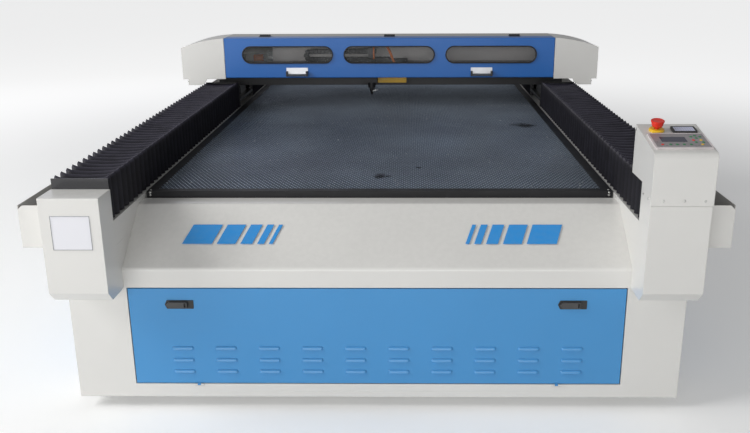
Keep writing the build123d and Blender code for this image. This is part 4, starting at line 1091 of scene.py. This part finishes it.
def stadium(centre_x, centre_z, width, height, y, steps=14):
    """Points of a slot with round ends in the XZ plane."""
    radius = height / 2
    points = []
    for side, start in ((1, -90), (-1, 90)):
        for n in range(steps + 1):
            turn = radians(start + 180 * n / steps)
            points.append((centre_x + side * (width / 2 - radius) + radius * cos(turn), y,
                           centre_z + radius * sin(turn)))
    return points


def make_gaskets(front):
    """The rubber gaskets round the windows."""
    low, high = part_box("windows")
    height = high.z - low.z - 2 * WINDOW_MARGIN
    width = high.x - low.x - 2 * WINDOW_PITCH - 2 * WINDOW_MARGIN
    section = rounded_section("lip", 13, 6, 2)
    for n in (1, 2, 3):
        slot = stadium((n - 2) * WINDOW_PITCH, (low.z + high.z) / 2, width, height, front)
        make_strip(f"window_gasket_{n}", slot, section, "gasket", "hood_door", True, 40)
    discard(section)


def make_inner_wall():
    """The white sheet in front of the laser tube, which shows through the windows."""
    start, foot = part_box("laser_tube")[0].y - WALL_SETBACK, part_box("gantry_beam")[1].z

    def wall(form):
        face = start + WALL_SHEET
        add_box(form, (WALL_LEFT, start, foot), (WALL_RIGHT, face, WALL_TOP))
        add_box(form, (WALL_LEFT, face, foot), (WALL_RIGHT, start + WALL_FLANGE, foot + WALL_SHEET))

    # The wall's white is painted grey as shade.
    make_piece("hood_inner_wall", wall, "inner_white", "gantry")


def make_hose():
    """The orange hose that rises from the head to its chain."""
    section = rounded_section("hose_section", 14, 14, 6.9)
    make_strip("water_hose", HOSE_ROUTE, section, "orange", "head", angle=60)
    discard(section)


def make_fitting():
    """The air fitting at the side of the nozzle."""
    low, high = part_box("lens_tube")
    outline = [(0, 0), (5, 0), (5, 10), (7.5, 10), (7.5, 17), (4, 17), (4, 26), (0, 26)]
    place = Matrix.Translation((high.x - 14 * MM, (low.y + high.y) / 2 - 6 * MM, FITTING_HEIGHT))
    place = place @ Matrix.Rotation(radians(78), 4, "Y")
    make_piece("air_fitting", lambda form: add_lathe(form, outline, 16, place), "turned", "focus",
               35)


def make_pull_ends(front):
    """Black blocks at the ends of the two pulls, as painted shade in their hollow ends."""
    low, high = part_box("pulls")

    def ends(form):
        for side in (-1, 1):
            for end in (high.x + PULL_LIP, high.x + PULL_LIP - PULL_LENGTH):
                near, far = sorted((side * end, side * (end - PULL_END)))
                add_box(form, (near, low.y - PULL_LIP, low.z - PULL_LIP),
                        (far, front, low.z + PULL_DEPTH), 1 * MM)

    # Painted shade: black blocks stand where the pulls' hollow ends lie in shade.
    make_piece("pull_ends", ends, "black_plastic", "hood_door")


class ENGRAVER_OT_hood(bpy.types.Operator):
    """Makes the trim of the hood and of the head: gaskets, inner wall, hose, air fitting, and black blocks as
    painted shade at the ends of the pulls.
    """
    bl_idname = "engraver.hood"
    bl_label = "Hood and head trim"

    def execute(self, context):
        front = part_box("hood_door")[0].y
        make_gaskets(front)
        make_inner_wall()
        make_hose()
        make_fitting()
        make_pull_ends(front)
        return {"FINISHED"}


# Louvres

LOUVRE_PITCH = 140 * MM
LOUVRE_COLUMNS = 10
DOOR_ROWS = (0.133, 0.174, 0.216)
COVER_ROWS = (0.200, 0.245, 0.290)
REAR_ROW_DROP = 15 * MM
DOOR_DEPTH = 18 * MM
SIDE_COVER_DEPTH = 10 * MM
REAR_COVER_DEPTH = 12 * MM


def louvre_shell():
    """A pressed louvre with rounded ends, open below. It looks along Z and stands upright along Y."""
    wide, tall, reach = 34.5 * MM, 6.1 * MM, 6.2 * MM
    columns, rows = 18, 5

    def build(form):
        grid = []
        for r in range(rows + 1):
            turn = pi / 2 * r / rows
            upright = tall * (2 * abs(cos(turn)) ** 1.3 - 1)
            line = []
            for c in range(columns + 1):
                u = -cos(pi * c / columns)
                rounding = max(0.0, 1 - abs(u) ** 12) ** 0.35
                line.append(form.verts.new((wide * u, upright * rounding, reach * sin(turn) * rounding)))
            grid.append(line)
        for low, high in zip(grid, grid[1:]):
            for c in range(columns):
                form.faces.new((low[c], low[c + 1], high[c + 1], high[c]))
        bmesh.ops.remove_doubles(form, verts=form.verts, dist=0.01 * MM)

    return thicken(shaped("louvre", build), 0.8 * MM)


class ENGRAVER_OT_louvres(bpy.types.Operator):
    """Presses the rounded louvres into the front door and the service covers."""
    bl_idname = "engraver.louvres"
    bl_label = "Louvres"

    def execute(self, context):
        shell = louvre_shell()
        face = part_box("front_door")[1].y - DOOR_DEPTH
        columns = [(n - (LOUVRE_COLUMNS - 1) / 2) * LOUVRE_PITCH for n in range(LOUVRE_COLUMNS)]
        door = [((x, face, z), FRONT) for x in columns for z in DOOR_ROWS]
        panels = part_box("side_panels")[1]
        side, rear = panels.x + SIDE_COVER_DEPTH, panels.y + REAR_COVER_DEPTH
        three = (-LOUVRE_PITCH, 0, LOUVRE_PITCH)
        covers = [((turn * side, station + y, z), (turn, 0, 0))
                  for turn in (-1, 1) for station in COVER_STATIONS for y in three for z in COVER_ROWS]
        covers += [((x, rear, z - REAR_ROW_DROP), BACK) for x in three for z in COVER_ROWS]
        for name, places, body in (("louvres_door", door, "front_door"), ("louvres_covers", covers, "base")):
            ride(smooth(copies(name, shell, places, finishes["door_blue"]), 60), body)
        discard(shell)
        return {"FINISHED"}


# Control box

BOX_SLOPE = atan2(43, 221)
OVERLAY_FACE = 0.5 * MM
KEY_OUTLINE = [(0, 0), (4.4, 0), (4.4, 0.5), (3.9, 1.0), (0, 1.15)]
CAP_OUTLINE = [(0, 0), (6, 0), (6, 13.7), (13.5, 14), (15.5, 16), (17, 20), (18.2, 26), (20.2, 31.5),
               (20.2, 33.5), (18.8, 34.5), (17, 34.3), (10, 33.2), (0, 32.8)]
CAP_FOOT = -4 * MM
KEYS = {
    "green": ("black_plastic", [(-0.23, -0.32), (-0.11, -0.32), (0.02, -0.32), (0.15, -0.32), (0.33, 0.34),
                                (0.245, 0.25), (0.415, 0.25), (0.33, 0.16), (0.27, -0.16), (0.41, -0.16)]),
    "red": ("red_plastic", [(-0.38, -0.32), (0.25, 0.0)]),
    "amber": ("yellow_plastic", [(0.39, 0.0), (0.36, -0.32)]),
}


def slope_frame(node):
    """A matrix whose XY plane is the sloping top of the control box, with its origin in a node's middle."""
    low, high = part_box(node)
    return Matrix.Translation((low + high) / 2) @ Matrix.Rotation(BOX_SLOPE, 4, "X")


class ENGRAVER_OT_controls(bpy.types.Operator):
    """Puts the display and the keys on the keypad and the head on the emergency stop."""
    bl_idname = "engraver.controls"
    bl_label = "Controls"

    def execute(self, context):
        matrix = slope_frame("keypad_overlay")
        low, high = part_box("keypad_overlay")
        width, depth = high.x - low.x, (high.y - low.y) / cos(BOX_SLOPE)

        def pane(form):
            add_box(form, (-0.36 * width, -0.13 * depth, 0),
                    (0.12 * width, 0.24 * depth, 2 * OVERLAY_FACE), 0.3 * MM)

        make_piece("keypad_display", pane, "key_display", "base", matrix=matrix)
        source = shaped("key", lambda form: add_lathe(form, KEY_OUTLINE, 20))
        for colour, (slot, places) in KEYS.items():
            points = [((u * width, v * depth, OVERLAY_FACE), UP) for u, v in places]
            keys = copies(f"keys_{colour}", source, points, finishes[colour])
            keys.data.transform(matrix)
            ride(smooth(keys), "base")
        discard(source)
        foot = slope_frame("stop_collar") @ Matrix.Translation((0, 0, CAP_FOOT))
        cap = make_piece("stop_cap", lambda form: add_lathe(form, CAP_OUTLINE, 36), "red", "stop_button",
                         30, foot)
        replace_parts(cap, "stop_button")
        return {"FINISHED"}


# Marks

APRON_FOLD = 489 * MM
APRON_SLOPE = atan2(151, 218)
BARS = ((0, 96), (112, 60), (188, 38), (242, 22), (280, 12))
BARS_REACH = 300
BARS_LEFT, BARS_RIGHT = -627 * MM, 276 * MM
BARS_FROM_FOLD = 101 * MM
PLATE_LOW, PLATE_HIGH = (-951 * MM, -2000.6 * MM, 598 * MM), (-833 * MM, -2000 * MM, 704 * MM)
BORDER_INSET = 1 * MM
BORDER_FACE = -2000.7 * MM


def add_slanted_bar(form, x, width, height=78, lean=26, thickness=0.4):
    """A slanted bar in the XY plane with its foot at y = 0, in mm."""
    outline = [(x, 0), (x + width, 0), (x + width + lean, height), (x + lean, height)]
    low, high = ([form.verts.new(Vector((px, py, z)) * MM) for px, py in outline] for z in (0, thickness))
    form.faces.new(high)
    form.faces.new(list(reversed(low)))
    for n in range(4):
        form.faces.new((low[n], low[(n + 1) % 4], high[(n + 1) % 4], high[n]))


class ENGRAVER_OT_marks(bpy.types.Operator):
    """Paints plain slanted bars on the apron and fixes a blank plate to the left post."""
    bl_idname = "engraver.marks"
    bl_label = "Marks"

    def execute(self, context):
        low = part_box("front_panel")[0]
        foot_y = low.y + BARS_FROM_FOLD * cos(APRON_SLOPE)
        foot_z = APRON_FOLD + BARS_FROM_FOLD * sin(APRON_SLOPE)
        for name, left, mirrored in (("left", BARS_LEFT, False), ("right", BARS_RIGHT, True)):
            def stripes(form):
                for start, width in BARS:
                    add_slanted_bar(form, BARS_REACH - start - width if mirrored else start, width)
            place = Matrix.Translation((left, foot_y, foot_z)) @ Matrix.Rotation(APRON_SLOPE, 4, "X")
            make_piece(f"apron_bars_{name}", stripes, "stripe", "base", matrix=place)
        make_piece("blank_plate", lambda form: add_box(form, PLATE_LOW, PLATE_HIGH, 0.25 * MM),
                   "plate_face", "base")
        section = rounded_section("line", 2.6, 0.8, 0.2)
        left, right = PLATE_LOW[0] + BORDER_INSET, PLATE_HIGH[0] - BORDER_INSET
        bottom, top = PLATE_LOW[2] + BORDER_INSET, PLATE_HIGH[2] - BORDER_INSET
        corners = [(x, BORDER_FACE, z)
                   for x, z in ((left, bottom), (right, bottom), (right, top), (left, top))]
        make_strip("blank_plate_border", corners, section, "plate_line", "base", True)
        discard(section)
        return {"FINISHED"}


# Laser tube

class ENGRAVER_OT_tube(bpy.types.Operator):
    """Puts the bore, the rubber ends and the electrodes into the glass tube."""
    bl_idname = "engraver.tube"
    bl_label = "Laser tube"

    def execute(self, context):
        low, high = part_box("laser_tube")
        end = (high.x - low.x) / 2 / MM
        matrix = Matrix.Translation((low + high) / 2) @ Matrix.Rotation(pi / 2, 4, "Y")
        parts = (
            ("tube_bore", "silicone", "glass", 20, (0, 9), [(80 - end, end - 80)]),
            ("tube_ends", "orange", "orange_plastic", 24, (14.5, 19),
             [(-end - 4, 50 - end), (end - 50, end + 4)]),
            ("tube_electrodes", "turned", "aluminium", 24, (20, 22),
             [(100 - end, 180 - end), (end - 180, end - 100)]),
        )
        for name, finish, slot, steps, (inner, outer), stretches in parts:
            def rings(form):
                for near, far in stretches:
                    add_lathe(form, [(inner, near), (outer, near), (outer, far), (inner, far)], steps, matrix)
            make_piece(name, rings, finish, "gantry", 35)
        return {"FINISHED"}


# Finish of the machined parts

class ENGRAVER_OT_finish(bpy.types.Operator):
    """Gives every machined or folded part its paint, plating or plastic."""
    bl_idname = "engraver.finish"
    bl_label = "Paint and plating"

    def execute(self, context):
        make_finishes()
        for finish, nodes in NODE_FINISH.items():
            for node in nodes:
                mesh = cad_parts[node].data
                mesh.materials.clear()
                mesh.materials.append(finishes[finish])
        return {"FINISHED"}


# Stage

FLOOR_REACH = 40.0
GLOW_NEAR, GLOW_FAR = 1.2, 7.5
GLOW_LOW, GLOW_HIGH = 0.20, 0.62
ROOM_LEVEL, BACKGROUND_LEVEL = 0.26, 0.92
SKY = (0.97, 0.98, 1.0, 1.0)
LAMPS = {
    "front": ((-1.2, -8.2, 1.7), (0, -1.0, 0.5), (7.0, 2.6), (1, 1, 1)),
    "side": ((-6.0, -3.0, 4.3), (0, -0.3, 0.6), (3.4, 3.0), (1, 1, 1)),
    "back": ((-2.6, 5.2, 3.4), (-0.2, 0, 0.7), (4.0, 1.6), (0.86, 0.88, 1.0)),
}
SENSOR = 36.0
CAMERA_PLACE = (0.103, -4.335, 1.423)
CAMERA_SHIFT = -0.0319
CAMERA_PITCH, CAMERA_YAW, CAMERA_ROLL = radians(17.141), radians(-0.713), radians(-0.206)


def area_light(name, place, target, size, colour, power):
    """A soft rectangular light that looks at a target."""
    lamp = bpy.data.lights.new(name, "AREA")
    lamp.shape = "RECTANGLE"
    lamp.size, lamp.size_y = size
    lamp.energy = power
    lamp.color = colour
    obj = new_object(name, lamp)
    obj.location = place
    obj.rotation_euler = (Vector(target) - Vector(place)).to_track_quat("-Z", "Y").to_euler()


def floor_finish(colour):
    """A pale floor that shows brighter far from the machine, to the camera and in reflections only."""
    material, tree, shader, place = base_material("pale_floor", Roughness=0.7,
                                                  Emission_Color=(1.0, 1.0, 1.0, 1.0))
    away = put(tree, "ShaderNodeVectorMath", {0: place}, operation="LENGTH").outputs["Value"]
    glow = between(tree, away, GLOW_LOW, GLOW_HIGH, GLOW_NEAR, GLOW_FAR, interpolation_type="SMOOTHERSTEP")
    path = put(tree, "ShaderNodeLightPath").outputs
    seen = calculate(tree, "MAXIMUM", path["Is Camera Ray"], path["Is Glossy Ray"])
    feed(shader, Base_Color=mixed(tree, noise(tree, place, 0.7, 3.0), shade(colour, 0.98), colour),
         Emission_Strength=calculate(tree, "MULTIPLY", glow, seen))
    return material


def make_world(scene):
    """A room that lights softly and looks nearly white where the camera sees it."""
    world = bpy.data.worlds.new("studio")
    scene.world = world
    world.use_nodes = True
    tree = world.node_tree
    path = put(tree, "ShaderNodeLightPath").outputs
    seen = calculate(tree, "MAXIMUM", path["Is Camera Ray"], path["Is Transmission Ray"])
    ground = tree.nodes["Background"]
    feed(ground, Strength=between(tree, seen, ROOM_LEVEL, BACKGROUND_LEVEL))
    ground.inputs["Color"].default_value = SKY


def make_camera(scene, lens):
    """The camera where the photograph was taken from."""
    camera = bpy.data.cameras.new("camera")
    camera.sensor_width = SENSOR
    camera.lens = lens
    camera.shift_x = CAMERA_SHIFT
    camera.clip_end = 200
    viewer = new_object("camera", camera)
    level = cos(CAMERA_PITCH)
    ahead = Vector((sin(CAMERA_YAW) * level, cos(CAMERA_YAW) * level, -sin(CAMERA_PITCH)))
    right = ahead.cross(Vector((0, 0, 1))).normalized()
    up = right.cross(ahead)
    rolled_right = right * cos(CAMERA_ROLL) + up * sin(CAMERA_ROLL)
    rolled_up = -right * sin(CAMERA_ROLL) + up * cos(CAMERA_ROLL)
    turn = Matrix((rolled_right, rolled_up, -ahead)).transposed().to_4x4()
    viewer.matrix_world = Matrix.Translation(CAMERA_PLACE) @ turn
    scene.camera = viewer


class ENGRAVER_OT_stage(bpy.types.Operator):
    """Lays a pale floor, hangs soft lights and sets the camera where the photograph was taken."""
    bl_idname = "engraver.stage"
    bl_label = "Floor, light and camera"

    def execute(self, context):
        settings = context.scene.engraver_stage
        corners = [(x * FLOOR_REACH, y * FLOOR_REACH, 0) for x, y in ((-1, -1), (1, -1), (1, 1), (-1, 1))]
        mesh_object("floor", corners, [(0, 1, 2, 3)], floor_finish(settings.floor))
        make_world(context.scene)
        for name, lamp in LAMPS.items():
            area_light(f"{name}_light", *lamp, getattr(settings, f"{name}_power"))
        make_camera(context.scene, settings.lens)
        context.scene.view_settings.view_transform = "Standard"
        return {"FINISHED"}


class ENGRAVER_PT_panel(bpy.types.Panel):
    """Lists the steps that dress the machine."""
    bl_idname = "ENGRAVER_PT_panel"
    bl_label = "Laser Engraver"
    bl_space_type = "VIEW_3D"
    bl_region_type = "UI"
    bl_category = "Laser Engraver"

    def draw(self, context):
        for operator in OPERATORS:
            self.layout.operator(operator.bl_idname)
        for group, kind in GROUPS.items():
            box = self.layout.box()
            for name in kind.__annotations__:
                box.prop(getattr(context.scene, group), name)


OPERATORS = (
    ENGRAVER_OT_stage, ENGRAVER_OT_finish, ENGRAVER_OT_honeycomb, ENGRAVER_OT_bellows, ENGRAVER_OT_chains,
    ENGRAVER_OT_louvres, ENGRAVER_OT_hood, ENGRAVER_OT_tube, ENGRAVER_OT_controls, ENGRAVER_OT_marks,
    ENGRAVER_OT_screws,
)


def register():
    for kind in (*GROUPS.values(), *OPERATORS, ENGRAVER_PT_panel):
        bpy.utils.register_class(kind)
    for name, kind in GROUPS.items():
        setattr(bpy.types.Scene, name, bpy.props.PointerProperty(type=kind))


def unregister():
    for name in GROUPS:
        delattr(bpy.types.Scene, name)
    for kind in reversed((*GROUPS.values(), *OPERATORS, ENGRAVER_PT_panel)):
        bpy.utils.unregister_class(kind)


def main():
    """Dresses the machine step by step."""
    register()
    bpy.ops.engraver.stage()
    bpy.ops.engraver.finish()
    bpy.ops.engraver.honeycomb()
    bpy.ops.engraver.bellows()
    bpy.ops.engraver.chains()
    bpy.ops.engraver.louvres()
    bpy.ops.engraver.hood()
    bpy.ops.engraver.tube()
    bpy.ops.engraver.controls()
    bpy.ops.engraver.marks()
    bpy.ops.engraver.screws()


if __name__ == "__main__":
    main()
